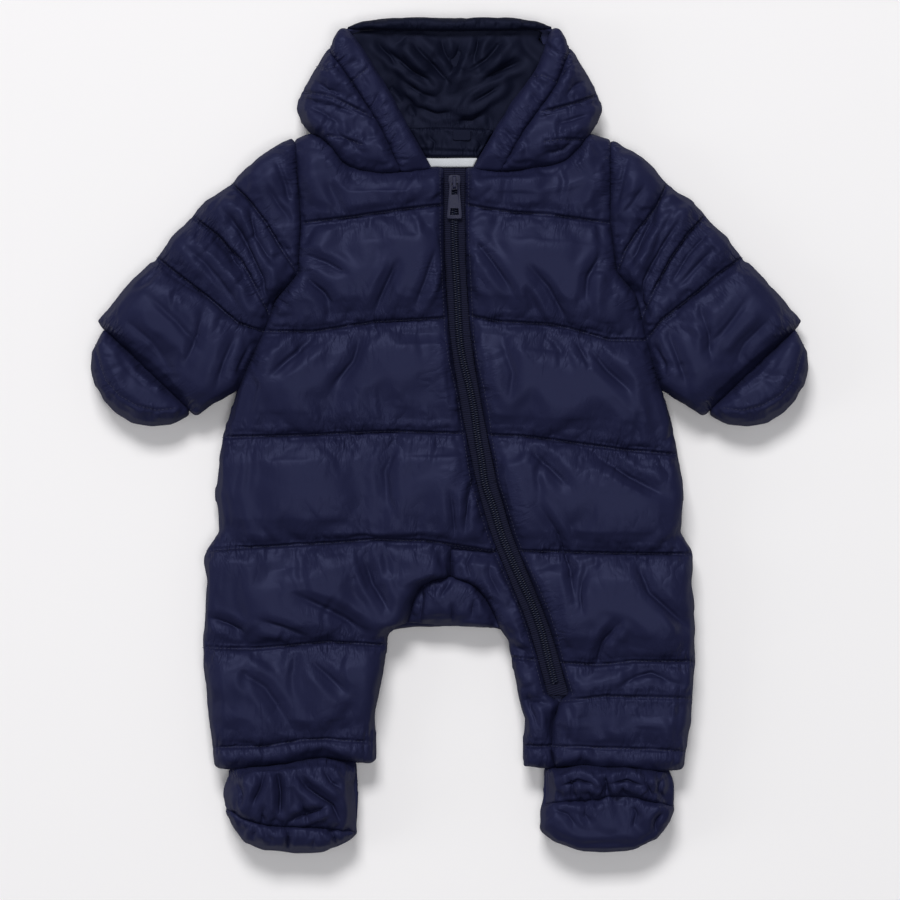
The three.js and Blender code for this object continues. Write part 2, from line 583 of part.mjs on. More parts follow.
const SLEEVE_LEFT = [
  { fold: [135.5, 238.5], seam: armL0 },
  { fold: [157, 224.5], seam: [131, 206] },
  { fold: [168, 214], seam: armL1 },
  { fold: [177, 204], seam: armL2, via: [[143, 150], [153, 166], [168, 185]], low: QUILT_LOW },
  { fold: [197, 190.5], seam: armL3, via: [[158, 132], [168, 152], [184, 176]] },
  { fold: [208.5, 178.5], seam: [156, 95], via: [[167, 119], [180, 144], [195, 165]], low: QUILT_LOW },
  { fold: [226, 161], seam: [158, 86] },
  { fold: [238, 144], seam: armL4, via: [[173, 94], [200, 115], [220, 132]], low: QUILT_LOW },
  { fold: [257, 126], seam: [165.5, 58] },
  { fold: [270, 111], seam: armL5 },
  { fold: [281, 99], seam: [189, 28] },
  { fold: [287, 91.5], seam: [206, 15.5] },
];
const ACROSS_SLEEVE = [0, 0.05, 0.14, 0.28, 0.45, 0.62, 0.76, 0.87, 0.95, 1];
const sleeve = (table) => foldedPiece(table.map(({ fold, seam, via = [], low }) => (
  { upper: [seam, ...via, fold], lower: [seam, fold], low })), {
  upperLoft: SLEEVE_LOFT, lowerLoft: BACK_LOFT, upperStart: SIDE, lowerStart: UNDER_SIDE,
  upperShares: ACROSS_SLEEVE, lowerShares: ACROSS_SLEEVE, perBand: 5, rimRound: 24, roundY: 20,
});
addPiece("sleeve_right", SHELL, sleeve(SLEEVE_RIGHT));
addPiece("sleeve_left", SHELL, sleeve(SLEEVE_LEFT));

// Mittens: padded pouches that close the cuffs, from a share of the cuff's line to a point on the rounded rim
const MITTEN = [
  { cuff: 0.08, rim: [284.5, 78] }, { cuff: 0.16, rim: [291, 67] }, { cuff: 0.27, rim: [292, 54] },
  { cuff: 0.38, rim: [289, 40] }, { cuff: 0.48, rim: [281.5, 28.5] }, { cuff: 0.57, rim: [271, 18.5] },
  { cuff: 0.66, rim: [258, 10.5] }, { cuff: 0.75, rim: [243, 8] }, { cuff: 0.84, rim: [227, 9.5] },
  { cuff: 0.92, rim: [213, 16] },
];
const ACROSS_MITTEN = [0, 0.12, 0.3, 0.52, 0.74, 0.9, 1];
const mitten = (side) => foldedPiece(MITTEN.map(({ cuff, rim }, i) => {
  const line = [mixPoint([side * 287.1, 91.1], [side * 206.3, 15.2], cuff), [side * rim[0], rim[1]]];
  return { upper: line, lower: line, low: i === 0 || i === MITTEN.length - 1 ? 0.75 : undefined };
}), {
  upperLoft: MITTEN_LOFT, lowerLoft: UNDER_LOFT, upperStart: { edge: SEAM_EDGE, round: SMALL_ROUND },
  lowerStart: { edge: SEAM_EDGE, round: SMALL_ROUND }, upperShares: ACROSS_MITTEN, lowerShares: ACROSS_MITTEN,
  perBand: 8, rimRound: 22,
});
addPiece("mitten_right", SHELL, mitten(-1));
addPiece("mitten_left", SHELL, mitten(1));

// Hood halves: each is folded round at the silhouette, from the band's seam above to the centre seam below.
// The crown is the outline of the hood's top, from its middle to where the fold ends.
const CROWN = [[0, 340], [45, 340], [75, 338], [88, 331], [95, 320], [100.5, 311.5]];
const HOOD_RIGHT = [
  { seam: NECK_RIGHT[7], fold: NECK_RIGHT[0], upper: [...NECK_RIGHT].reverse(), lower: NAPE_RIGHT },
  { seam: [-46, 228], fold: [-120, 255], centre: 247 },
  { seam: [-54, 246], fold: [-124.5, 266], centre: 264 },
  { seam: [-60, 257], fold: [-122.5, 274], centre: 274, low: 0.45 },
  { seam: [-70, 272], fold: [-117, 284], centre: 288 },
  { seam: [-80, 287], fold: [-111, 294], centre: 302 },
  { seam: [-89, 300], fold: [-104.5, 304.5], centre: 318 },
  { seam: [-96.5, 311], fold: [-100.5, 311.5], lower: CROWN.map(([x, y]) => [-x, y]) },
];
const HOOD_LEFT = [
  { seam: NECK_LEFT[0], fold: NECK_LEFT.at(-1), upper: NECK_LEFT, lower: NAPE_LEFT },
  { seam: [49, 228], fold: [120, 255], centre: 247 },
  { seam: [59, 246], fold: [124.5, 266], centre: 264 },
  { seam: [67, 257], fold: [122.5, 272], centre: 274, low: 0.45 },
  { seam: [77, 270], fold: [117, 284], centre: 288 },
  { seam: [87, 284], fold: [111, 294], centre: 302 },
  { seam: [92, 298], fold: [104.5, 304.5], centre: 318 },
  { seam: [96.5, 311], fold: [100.5, 311.5], lower: CROWN },
];
const hoodSide = (table, neck, nape) => foldedPiece(table.map((row) => ({
  upper: row.upper ?? [row.seam, row.fold],
  lower: row.lower ?? [[0, row.centre], row.fold],
  low: row.low,
})), {
  base: UPPER_BASE, lowerTop: HOOD_LOWER_TOP, upperLoft: HOOD_LOFT, lowerLoft: UNDER_LOFT,
  upperStart: { edge: HOOD_EDGE, round: 9 }, lowerStart: { edge: SEAM_EDGE, round: 14 },
  perBand: 6, rimRound: 24,
  upperShares: sharesOf(neck, 9), lowerShares: sharesOf(nape, 14), roundY: 24,
});
addPiece("hood_side_right", SHELL, hoodSide(HOOD_RIGHT, [...NECK_RIGHT].reverse(), NAPE_RIGHT));
addPiece("hood_side_left", SHELL, hoodSide(HOOD_LEFT, NECK_LEFT, NAPE_LEFT));

// Padded band round the face opening: each row runs from the side's seam to the rolled opening edge
const bandRows = (table, neckBand, openings, top) => [
  { line: neckBand },
  ...openings.map((opening, i) => ({ line: [table[i + 1].seam, opening] })),
  ...top.map((line) => ({ line })),
];
const BAND_RIGHT = bandRows(HOOD_RIGHT, NECK_RIGHT_BAND,
  [[-21, 228], [-31, 245], [-38, 258], [-46, 273], [-55, 289], [-63, 302], [-71, 314]],
  [[[-94, 321], [-77, 322]], [[-88.5, 330], [-83.5, 330]]]);
const BAND_LEFT = bandRows(HOOD_LEFT, [...NECK_LEFT_BAND].reverse(),
  [[25, 228], [35, 245], [42, 257], [51, 270], [62, 284], [71, 297], [77, 312]],
  [[[94, 321], [80, 322]], [[88.5, 330], [83.5, 330]]]);
const hoodBand = (rows) => paddedWall(rows, {
  base: UPPER_BASE, loft: BAND_LOFT,
  start: { edge: HOOD_EDGE, round: 6 }, end: { edge: OPENING_EDGE, round: 7 },
  shares: [0, 0.12, 0.3, 0.5, 0.7, 0.88, 1], perBand: 9, roundY: 12,
});
addPiece("hood_band_right", SHELL, hoodBand(BAND_RIGHT));
addPiece("hood_band_left", SHELL, hoodBand(BAND_LEFT));
addPiece("hood_band_top", LINING, paddedWall([
  { line: [[-83, 332], [-45, 329.5], [0, 329], [45, 329.5], [83, 332]] },
  { line: [[-83.5, 333.5], [-75, 337.5], [-45, 339.5], [45, 339.5], [75, 337.5], [83.5, 333.5]] },
], {
  base: UPPER_BASE, loft: 9, start: { edge: SEAM_EDGE, round: 10 }, end: { edge: SEAM_EDGE, round: 10 },
  roundY: 4, perBand: 4, shares: sharesOf([[-83, 332], [83, 332]], 14),
}));

// Lining of the hood: a thin cloth that rises in soft folds where the opening shows it
const LINING_FOLDS = [
  { x1: 0, y1: 292, x2: -45, y2: 318, deep: 7, wide: 8 },
  { x1: 0, y1: 288, x2: 48, y2: 312, deep: 7, wide: 8 },
  { x1: -8, y1: 268, x2: -34, y2: 282, deep: 5, wide: 7 },
  { x1: 8, y1: 266, x2: 36, y2: 276, deep: 5, wide: 7 },
  { x1: -30, y1: 318, x2: 30, y2: 316, deep: 4, wide: 6 },
];
const OPEN_LINING = [
  { y: 250, left: -27, right: 31 }, { y: 262, left: -34, right: 39 }, { y: 285, left: -47, right: 57 },
  { y: 312, left: -63, right: 70 }, { y: 326, left: -70, right: 74 },
];
function liningRelief(x, y) {
  let at = 0;
  while (at < OPEN_LINING.length - 2 && y > OPEN_LINING[at + 1].y) at++;
  const [a, b] = [OPEN_LINING[at], OPEN_LINING[at + 1]];
  const share = (y - a.y) / (b.y - a.y);
  const inside = Math.min(x - mix(a.left, b.left, share), mix(a.right, b.right, share) - x, y - 250, 326 - y);
  return creaseDepth(LINING_FOLDS, x, y) * rise(Math.max(inside, 0), 10);
}
addPiece("hood_lining", LINING, paddedWall([
  { line: [[-38, 238.5], [44, 238.5]] },
  { line: [[-50, 262], [55, 262]] },
  { line: [[-66, 285], [72, 285]] },
  { line: [[-78, 308], [84, 308]] },
  { line: [[-80, 325], [82, 325]] },
  { line: [[-70, 331], [70, 331]] },
], {
  base: LINING_BASE, loft: 2.6, start: { edge: 2.2, round: 2 }, end: { edge: 2.2, round: 2 }, roundY: 2,
  shares: Array.from({ length: 15 }, (_, i) => i / 14), perBand: 11, relief: liningRelief,
}));

// Inner neck: the band below the hood's seam, the pale strip under it and the loop it hangs by
const thin = (thickness) => (
  { base: UPPER_BASE, loft: thickness, start: { edge: 2, round: 4 }, end: { edge: 2, round: 4 }, roundY: 4 });
addPiece("collar_band", LINING, paddedWall([
  { line: [[-32.7, 249.5], [0, 250.5], [36.6, 248.5]] },
  { line: [[-30.4, 245], [34.4, 245]] },
  { line: [[-20.4, 228], [24.4, 228]] },
  { line: [[-19, 225.8], [23, 225.8]] },
], { ...thin(4), shares: sharesOf([[-32, 250], [36, 250]], 9), perBand: 5 }));
addPiece("neck_lining", PALE, paddedWall([
  { line: [[-18.6, 225.4], [22.6, 225.4]] },
  { line: [[-15.2, 218.2], [19, 218.2]] },
], { ...thin(2.6), shares: sharesOf([[-18, 225], [22, 225]], 8), perBand: 3 }));
addPiece("hanger_loop", LINING, plate(
  [[3, 240.5], [5, 239.6], [15, 239.6], [17, 240.5], [17, 247.5], [15, 248.4], [5, 248.4], [3, 247.5]],
  UPPER_BASE + 4.3, UPPER_BASE + 5.7));

// Zip: two tapes, the toothed chain on them, the patch that stops it, the slider at the neck and its tab
const TAPE_TOP = UPPER_BASE + TAPE_THICK;
const CHAIN_BASE = TAPE_TOP + 0.3;
const CHAIN_TOP = CHAIN_BASE + CHAIN_THICK;
const zipStrip = (from, to, near, far, low, high) => {
  const steps = Math.max(1, Math.round((from - to) / 18));
  const ys = Array.from({ length: steps + 1 }, (_, i) => mix(from, to, i / steps));
  const side = (off) => ys.map((y) => [zipX(y) + off, y]);
  return plate([...side(near), ...side(far).reverse()], low, high);
};
const TAPE_EDGE = ZIP_HALF - 0.8;
addPiece("zip_tape_right", TAPE, zipStrip(ZIP_TOP, PATCH_BOTTOM, -TAPE_EDGE, -0.2, UPPER_BASE, TAPE_TOP));
addPiece("zip_tape_left", TAPE, zipStrip(ZIP_TOP, PATCH_BOTTOM, 0.2, TAPE_EDGE, UPPER_BASE, TAPE_TOP));
const SLIDER_LOW = 199.5;
const half = CHAIN_WIDTH / 2;
addPiece("zip_chain", ZIP_NAVY, zipStrip(SLIDER_LOW - 0.3, ZIP_BOTTOM, -half, half, CHAIN_BASE, CHAIN_TOP));
addPiece("zip_stop_patch", TAPE, zipStrip(ZIP_BOTTOM - 0.3, PATCH_BOTTOM, -TAPE_EDGE, TAPE_EDGE,
  CHAIN_BASE, CHAIN_BASE + 1.6));

// Slider: a shield-shaped body with a bridge over it, which the tab's crossbar runs under
const SLIDER_X = zipX(205);
const SLIDER_TOP = CHAIN_TOP + 1.7;
const BRIDGE_INNER = SLIDER_TOP + 2.6;
const BRIDGE_OUTER = BRIDGE_INNER + 1.2;
const BRIDGE_HALF = 1.3;
const sliderBody = plate(
  [
    [-3.6, 0], [3.6, 0], [4.4, 3], [5, 8], [4.6, 11.5], [2, 12.2], [-2, 12.2], [-4.6, 11.5], [-5, 8], [-4.4, 3],
  ].map(([x, y]) => [SLIDER_X + x, SLIDER_LOW + y]), CHAIN_BASE, SLIDER_TOP);
const bridgeProfile = [
  [1, SLIDER_TOP - 1], [1, BRIDGE_INNER], [2.4, BRIDGE_OUTER], [9.8, BRIDGE_OUTER], [11.2, BRIDGE_INNER],
  [11.2, SLIDER_TOP - 1], [9.6, SLIDER_TOP - 1], [9.6, BRIDGE_INNER - 0.4], [9, BRIDGE_INNER],
  [3.2, BRIDGE_INNER], [2.6, BRIDGE_INNER - 0.4], [2.6, SLIDER_TOP - 1],
];
const bridge = new THREE.ExtrudeGeometry(
  new THREE.Shape(bridgeProfile.map(([y, z]) => new THREE.Vector2(y, z))),
  { depth: 2 * BRIDGE_HALF, bevelEnabled: false });
bridge.rotateY(Math.PI / 2).rotateX(Math.PI / 2).translate(SLIDER_X - BRIDGE_HALF, SLIDER_LOW, 0);
addPiece("zip_slider", ZIP_NAVY, join(sliderBody, bridge));

// Pull tab: hinges on its crossbar, with a slot for the bridge and a square window near its free end
const TAB_THICK = 1.5;
const TAB_TILT = 3.2 * THREE.MathUtils.DEG2RAD;
const tab = new THREE.Shape([
  [-3.6, 1], [-4, -1], [-6.2, -28], [-5.4, -29.4], [5.4, -29.4], [6.2, -28], [4, -1], [3.6, 1],
].map(([x, y]) => new THREE.Vector2(x, y)));
const slot = [[-2.4, -0.7], [2.4, -0.7], [2.4, -10], [-2.4, -10]];
const tabWindow = [[-3.2, -21], [3.2, -21], [3.6, -26.5], [-3.6, -26.5]];
for (const hole of [slot, tabWindow]) {
  tab.holes.push(new THREE.Path(hole.map(([x, y]) => new THREE.Vector2(x, y))));
}
const tabPlate = new THREE.ExtrudeGeometry(tab, { depth: TAB_THICK, bevelEnabled: false });
tabPlate.translate(0, 0, -TAB_THICK / 2);
const pull = addPiece("zip_pull", ZIP_NAVY, tabPlate);
pull.position.set(SLIDER_X, SLIDER_LOW + 6, (SLIDER_TOP + BRIDGE_INNER) / 2);
pull.rotation.x = TAB_TILT;

// Booties: a gathered upper from the hem to the toe seam, and a sole under it that turns up at the toe
const BOOT_UPPER_RIGHT = [
  { line: [
    [-178, -271], [-150, -269], [-130, -266], [-115, -263.5], [-100, -262.5], [-85, -265], [-77, -265.5],
  ] },
  { line: [[-182.5, -284], [-78, -284]] },
  { line: [[-184, -294], [-77, -297]] },
  { line: [
    [-182.5, -304], [-165, -312], [-150, -316.5], [-135, -318.5], [-115, -318], [-95, -320], [-76, -324],
  ], low: SEAM_LOW },
];
const BOOT_UPPER_LEFT = [
  { line: [[78, -270.7], [85.3, -270.5], [100, -269], [140, -270], [160, -272.5], [179, -272.5]] },
  { line: [[78.5, -284], [182.5, -284]] },
  { line: [[78, -301], [95, -297.5], [120, -296], [130, -293], [150, -293.5], [165, -298], [182.5, -303]],
    low: SEAM_LOW },
];
const BOOT_EDGE = { edge: SEAM_EDGE, round: 20 };
const bootUpper = (rows) => paddedWall(rows, {
  base: UPPER_BASE, loft: BOOT_LOFT, start: BOOT_EDGE, end: BOOT_EDGE, roundY: 13, perBand: 8,
  shares: [...new Set([rows[0], rows.at(-1)].flatMap((row) => sharesOf(row.line, 14)))].sort((a, b) => a - b),
});
addPiece("boot_upper_right", SHELL, bootUpper(BOOT_UPPER_RIGHT));
addPiece("boot_upper_left", SHELL, bootUpper(BOOT_UPPER_LEFT));

// Sole tables: the toe seam's point, the rim's point and the point under the hem, from one side to the other
const SOLE_RIGHT = [
  { toe: [-181, -304.7], rim: [-183, -305], heel: [-178, -271.4] },
  { toe: [-165, -312], rim: [-176.5, -319], heel: [-160, -270.2] },
  { toe: [-150, -316.5], rim: [-166, -331], heel: [-145, -268.8] },
  { toe: [-135, -318.5], rim: [-149, -338.5], heel: [-130, -266.6] },
  { toe: [-115, -318], rim: [-125, -340], heel: [-115, -264.1] },
  { toe: [-95, -320], rim: [-103, -338.3], heel: [-100, -263.1] },
  { toe: [-85, -322.1], rim: [-84, -330.5], heel: [-87, -265.3] },
  { toe: [-77.5, -323.7], rim: [-75.5, -324.5], heel: [-77, -266.1] },
];
const SOLE_LEFT = [
  { toe: [79.3, -300.7], rim: [75.5, -302], heel: [78, -270.8] },
  { toe: [95, -297.5], rim: [74.5, -321], heel: [90, -270.2] },
  { toe: [108, -296.7], rim: [85, -332], heel: [100, -269.1] },
  { toe: [120, -296], rim: [103, -338.3], heel: [115, -269.5] },
  { toe: [130, -293], rim: [126, -340], heel: [128, -269.9] },
  { toe: [150, -293.5], rim: [150, -338.3], heel: [145, -270.5] },
  { toe: [165, -298], rim: [167, -330], heel: [160, -272.5] },
  { toe: [176, -301.1], rim: [178, -315], heel: [170, -272.5] },
  { toe: [181.5, -302.7], rim: [183, -303.6], heel: [179, -272.5] },
];
const ACROSS_TOE = [0, 0.15, 0.4, 0.7, 0.9, 1];
const ACROSS_SOLE = [0, 0.08, 0.22, 0.4, 0.58, 0.74, 0.87, 0.95, 1];
const bootSole = (table) => foldedPiece(table.map(({ toe, rim, heel }) => (
  { upper: [toe, rim], lower: [heel, rim] })), {
  upperLoft: SOLE_LOFT, lowerLoft: UNDER_LOFT, upperStart: { edge: TOE_EDGE, round: 9 },
  lowerStart: { edge: SEAM_EDGE, round: SMALL_ROUND }, upperShares: ACROSS_TOE, lowerShares: ACROSS_SOLE,
  perBand: 9, rimRound: 18, roundY: 16,
});
addPiece("boot_sole_right", SHELL, bootSole(SOLE_RIGHT));
addPiece("boot_sole_left", SHELL, bootSole(SOLE_LEFT));

export default suit;
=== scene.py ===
import math

import bmesh
import bpy
import numpy as np
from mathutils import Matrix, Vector
from mathutils.bvhtree import BVHTree


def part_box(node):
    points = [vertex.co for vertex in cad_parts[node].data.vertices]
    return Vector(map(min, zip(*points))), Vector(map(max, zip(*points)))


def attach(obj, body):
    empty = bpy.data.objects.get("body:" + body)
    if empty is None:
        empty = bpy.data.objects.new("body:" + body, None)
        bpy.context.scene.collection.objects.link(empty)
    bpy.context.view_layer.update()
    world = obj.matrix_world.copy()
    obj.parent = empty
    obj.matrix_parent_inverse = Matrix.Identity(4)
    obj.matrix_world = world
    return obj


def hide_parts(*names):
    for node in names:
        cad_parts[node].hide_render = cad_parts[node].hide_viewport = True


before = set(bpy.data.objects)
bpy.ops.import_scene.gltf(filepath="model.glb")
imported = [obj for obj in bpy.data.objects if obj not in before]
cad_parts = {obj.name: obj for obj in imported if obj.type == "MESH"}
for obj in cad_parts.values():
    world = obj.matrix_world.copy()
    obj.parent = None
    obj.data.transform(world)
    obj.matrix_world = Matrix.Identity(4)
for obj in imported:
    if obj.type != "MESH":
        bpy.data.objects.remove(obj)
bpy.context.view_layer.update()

# The table top and the studio over it. The suit lies on a matt pale surface, and the camera hangs straight
# above with a long lens. A wide soft light beyond the hood throws short shadows towards the booties.
PICTURE_WIDTH = 0.7317
PICTURE_MIDDLE = (0.0004, -0.0122)
CAMERA_HEIGHT = 5.0
CLOTH_HEIGHT = 0.03
SENSOR = 36.0
TABLE_SIZE = 6.0
TABLE_COLOUR = (0.935, 0.92, 0.925, 1)
TABLE_WEAR = 0.985


def link(name, data):
    piece = bpy.data.objects.new(name, data)
    bpy.context.scene.collection.objects.link(piece)
    return piece


lens = bpy.data.cameras.new("lens")
lens.sensor_width = SENSOR
lens.lens = SENSOR * (CAMERA_HEIGHT - CLOTH_HEIGHT) / PICTURE_WIDTH
lens.clip_end = 50
camera = link("camera", lens)
camera.location = (*PICTURE_MIDDLE, CAMERA_HEIGHT)
bpy.context.scene.camera = camera


def softbox(name, place, aim, size, watts):
    light = bpy.data.lights.new(name, "AREA")
    light.shape = "RECTANGLE"
    light.size, light.size_y = size
    light.energy = watts
    lamp = link(name, light)
    lamp.location = place
    lamp.rotation_mode = "QUATERNION"
    lamp.rotation_quaternion = (Vector(aim) - Vector(place)).to_track_quat("-Z", "Y")


softbox("key", (-0.8, 4.4, 5.8), (0, 0, 0), (2.8, 1.8), 340)
softbox("overhead", (0.3, -0.5, 4.5), (0, 0, 0), (1.6, 1.6), 56)
softbox("low_left", (-4.2, -0.6, 2.0), (0, 0, 0), (1.6, 2.4), 26)

world = bpy.data.worlds.new("studio")
world.use_nodes = True
world.node_tree.nodes["Background"].inputs["Color"].default_value = (0.93, 0.95, 1, 1)
world.node_tree.nodes["Background"].inputs["Strength"].default_value = 0.18
bpy.context.scene.world = world
bpy.context.scene.view_settings.view_transform = "Standard"


class Wire:
    """A socket in a material's tree. Arithmetic on wires adds Math nodes, and node() adds any other node."""

    def __init__(self, tree, socket=None):
        self.tree = tree
        self.socket = socket

    def node(self, kind, settings=None, values=None, output=0):
        """Adds a node: `settings` are its own properties, `values` its sockets' values or wires."""
        made = self.tree.nodes.new(kind)
        for name, setting in (settings or {}).items():
            if name == "stops":
                made.color_ramp.elements.remove(made.color_ramp.elements[1])
                for i, (place, colour) in enumerate(setting):
                    stop = made.color_ramp.elements[0] if i == 0 else made.color_ramp.elements.new(place)
                    stop.position, stop.color = place, colour
            else:
                setattr(made, name, setting)
        for name, value in (values or {}).items():
            entry = made.inputs[name]
            joined = [v for v in (value if isinstance(value, list) else [value]) if isinstance(v, Wire)]
            for wire in joined:
                self.tree.links.new(wire.socket, entry)
            if not joined:
                entry.default_value = value
        return Wire(self.tree, made.outputs[output])

    def maths(self, operation, first, second):
        return self.node("ShaderNodeMath", {"operation": operation}, {0: first, 1: second})

    def __add__(self, other):
        return self.maths("ADD", self, other)

    __radd__ = __add__

    def __mul__(self, other):
        return self.maths("MULTIPLY", self, other)

    __rmul__ = __mul__

    def __sub__(self, other):
        return self.maths("SUBTRACT", self, other)

    def __rsub__(self, other):
        return self.maths("SUBTRACT", other, self)


def new_material(name):
    """A material with a Principled shader, the shader's node, and a first wire with Object coordinates."""
    material = bpy.data.materials.new(name)
    material.use_nodes = True
    tree = material.node_tree
    shader = tree.nodes["Principled BSDF"]
    place = Wire(tree).node("ShaderNodeTexCoord", output="Object")
    return material, shader, place


def feed(shader, **wires):
    """Joins wires to the shader's sockets, or sets plain values on them; an underscore stands for a space."""
    for name, value in wires.items():
        entry = shader.inputs[name.replace("_", " ")]
        if isinstance(value, Wire):
            value.tree.links.new(value.socket, entry)
        else:
            entry.default_value = value


def noise(place, scale, detail=2.0, roughness=0.5):
    return place.node("ShaderNodeTexNoise", None, {
        "Vector": place, "Scale": scale, "Detail": detail, "Roughness": roughness})


def blend_colours(share, first, second):
    return share.node("ShaderNodeMix", {"data_type": "RGBA"}, {0: share, 6: first, 7: second}, output=2)


def bump(height, distance, strength, below=None):
    values = {"Height": height, "Distance": distance, "Strength": strength}
    if below is not None:
        values["Normal"] = below
    return height.node("ShaderNodeBump", None, values)


table_paint, table_shader, table_place = new_material("table_paint")
feed(table_shader, Roughness=0.9, Base_Color=blend_colours(
    noise(table_place, 3), TABLE_COLOUR, tuple(TABLE_WEAR * c for c in TABLE_COLOUR)))
table_mesh = bpy.data.meshes.new("table_top")
table_corners = [(x * TABLE_SIZE / 2, y * TABLE_SIZE / 2, 0) for x, y in ((-1, -1), (1, -1), (1, 1), (-1, 1))]
table_mesh.from_pydata(table_corners, [], [(0, 1, 2, 3)])
table_mesh.materials.append(table_paint)
link("table_top", table_mesh)

# The shell's cloth: a thin downproof nylon in navy, calendered to a soft gloss. The gloss is uneven, the fine
# weave shows only close by, and fine tucks run out from every stitched line.
# Tucks come in clusters, fade out halfway to the next stitched line, and steep sides are rougher
CLUSTER_SCALE = 0.17
CLUSTER_GAIN = 4
CLUSTER_CUT = 1.5
CLEAR_GAIN = 70
STEEP_FROM = 0.4
STEEP_ROUGH = 0.9
NAVY = (0.0098, 0.0108, 0.0345, 1)
NAVY_WORN = (0.0132, 0.0146, 0.0440, 1)


def nylon(name, dark, light, gloss):
    """Its tucks follow each point's `seam` attribute, in metres: how far along the nearest stitched line it
    is, how far away that line is, and how much further the next nearest one is. Steep sides are rougher."""
    material, shader, place = new_material(name)
    patches = noise(place, 38, 3)
    crinkle = noise(place, 260, 3, 0.6)
    weave = place.node("ShaderNodeTexVoronoi", None, {"Vector": place, "Scale": 2600.0})
    grain = noise(place, 1500, 2)
    seam = place.node("ShaderNodeAttribute", {"attribute_name": "seam"}, output=1)
    run, away, spare = (seam.node("ShaderNodeSeparateXYZ", None, {"Vector": seam}, i) for i in range(3))
    steep = place.node("ShaderNodeAttribute", {"attribute_name": "steep"}, output=2)
    sides = steep.maths("MAXIMUM", steep - STEEP_FROM, 0)

    def tucks(pitch, reach):
        across = seam.node("ShaderNodeCombineXYZ", None, {"X": run * (1 / pitch), "Y": away * (1 / reach)})
        clusters = seam.maths("MAXIMUM", noise(across * CLUSTER_SCALE, 1) * CLUSTER_GAIN - CLUSTER_CUT, 0)
        fade = seam.maths("POWER", math.e, away * (-1 / reach))
        clear = seam.maths("MINIMUM", spare * CLEAR_GAIN, 1)
        creases = seam.maths("ABSOLUTE", noise(across, 1, 1.5) - 0.5, 0)
        return creases * fade * clear * clear * clusters

    gathered = bump(tucks(0.0042, 0.010), 0.0055, 0.9, bump(tucks(0.014, 0.026), 0.012, 0.6))
    feed(
        shader,
        Base_Color=blend_colours(patches * 0.7 + crinkle * 0.3, dark, light),
        Roughness=gloss + patches * 0.1 + grain * 0.06 + sides * STEEP_ROUGH,
        Normal=bump(weave, 0.00004, 0.2, bump(crinkle, 0.0005, 0.16, bump(patches, 0.003, 0.05, gathered))),
        Specular_IOR_Level=0.15,
        Specular_Tint=(0.5, 0.56, 1, 1),
    )
    return material


shell_nylon = nylon("shell_nylon", NAVY, NAVY_WORN, 0.38)

# Back: one quilted panel with both legs, cut whole. It lies underneath, pressed flat on the table, and rolls
# up at the sides to meet the fronts. The wadding swells between the quilting and gathers along every stitch.
MM = 0.001
RANDOM = np.random.default_rng(68)
MERGED = 0.01 * MM
# A crease's reach and its raised lips, as shares of its width, and the ranges that tucks are drawn from
CREASE_REACH = 3.2
LIP_DEPTH = 0.32
LIP_PLACE = 2.0
LIP_WIDTH = 0.8
TUCK_SLANT = 0.38
TUCK_BEND = 0.12
TUCK_LENGTHS = (0.25, 1)
TUCK_DEPTHS = (0.45, 1)
TUCK_GAPS = (0.55, 1.6)
TUCK_SIGNS = (1, 1, -0.7)
TUCK_FADE = 0.45


def smooth(share):
    share = np.clip(share, 0, 1)
    return share * share * (3 - 2 * share)


def points_of(mesh):
    points = np.zeros(len(mesh.vertices) * 3, np.float32)
    mesh.vertices.foreach_get("co", points)
    return points.reshape(-1, 3).astype(float)


def normals_of(mesh):
    normals = np.zeros(len(mesh.vertices) * 3, np.float32)
    mesh.vertex_normals.foreach_get("vector", normals)
    return normals.reshape(-1, 3).astype(float)


def move_points(mesh, points):
    mesh.vertices.foreach_set("co", points.astype(np.float32).ravel())
    mesh.update()


def applied(piece):
    """Replaces a piece's mesh with what its modifiers make of it, and removes them."""
    made = bpy.data.meshes.new_from_object(piece.evaluated_get(bpy.context.evaluated_depsgraph_get()))
    piece.modifiers.clear()
    piece.data = made
    return made


def merged_copy(node, name):
    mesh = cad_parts[node].data.copy()
    mesh.materials.clear()
    shape = bmesh.new()
    shape.from_mesh(mesh)
    bmesh.ops.remove_doubles(shape, verts=shape.verts, dist=MERGED)
    shape.to_mesh(mesh)
    shape.free()
    return link(name, mesh)


def near_line(points, line):
    """Distance in plan from a line of corner points, how far along it the nearest place is, and its length"""
    line = np.array(line, float)
    steps = np.diff(line, axis=0)
    lengths = np.linalg.norm(steps, axis=1)
    starts = np.concatenate([[0], np.cumsum(lengths)])
    best = np.full(len(points), np.inf)
    run = np.zeros(len(points))
    for corner, step, length, start in zip(line[:-1], steps, lengths, starts):
        offset = points[:, :2] - corner
        share = np.clip(offset @ step / length ** 2, 0, 1)
        distance = np.linalg.norm(offset - share[:, None] * step, axis=1)
        nearer = distance < best
        best[nearer] = distance[nearer]
        run[nearer] = (start + share * length)[nearer]
    return best, run, starts[-1]


def trough(points, line, width, fade):
    """How much of a crease's depth each point takes: a soft valley with raised lips that fades at its ends"""
    line = np.array(line, float)
    reach = CREASE_REACH * width
    inside = np.all((points[:, :2] > line.min(0) - reach) & (points[:, :2] < line.max(0) + reach), axis=1)
    share = np.zeros(len(points))
    away, run, length = near_line(points[inside], line)
    lips = np.exp(-((away - LIP_PLACE * width) / (LIP_WIDTH * width)) ** 2)
    valley = np.exp(-(away / width) ** 2) - LIP_DEPTH * lips
    ends = smooth(np.minimum(run, length - run) / (fade * length) + 0.02)
    share[inside] = valley * ends
    return share


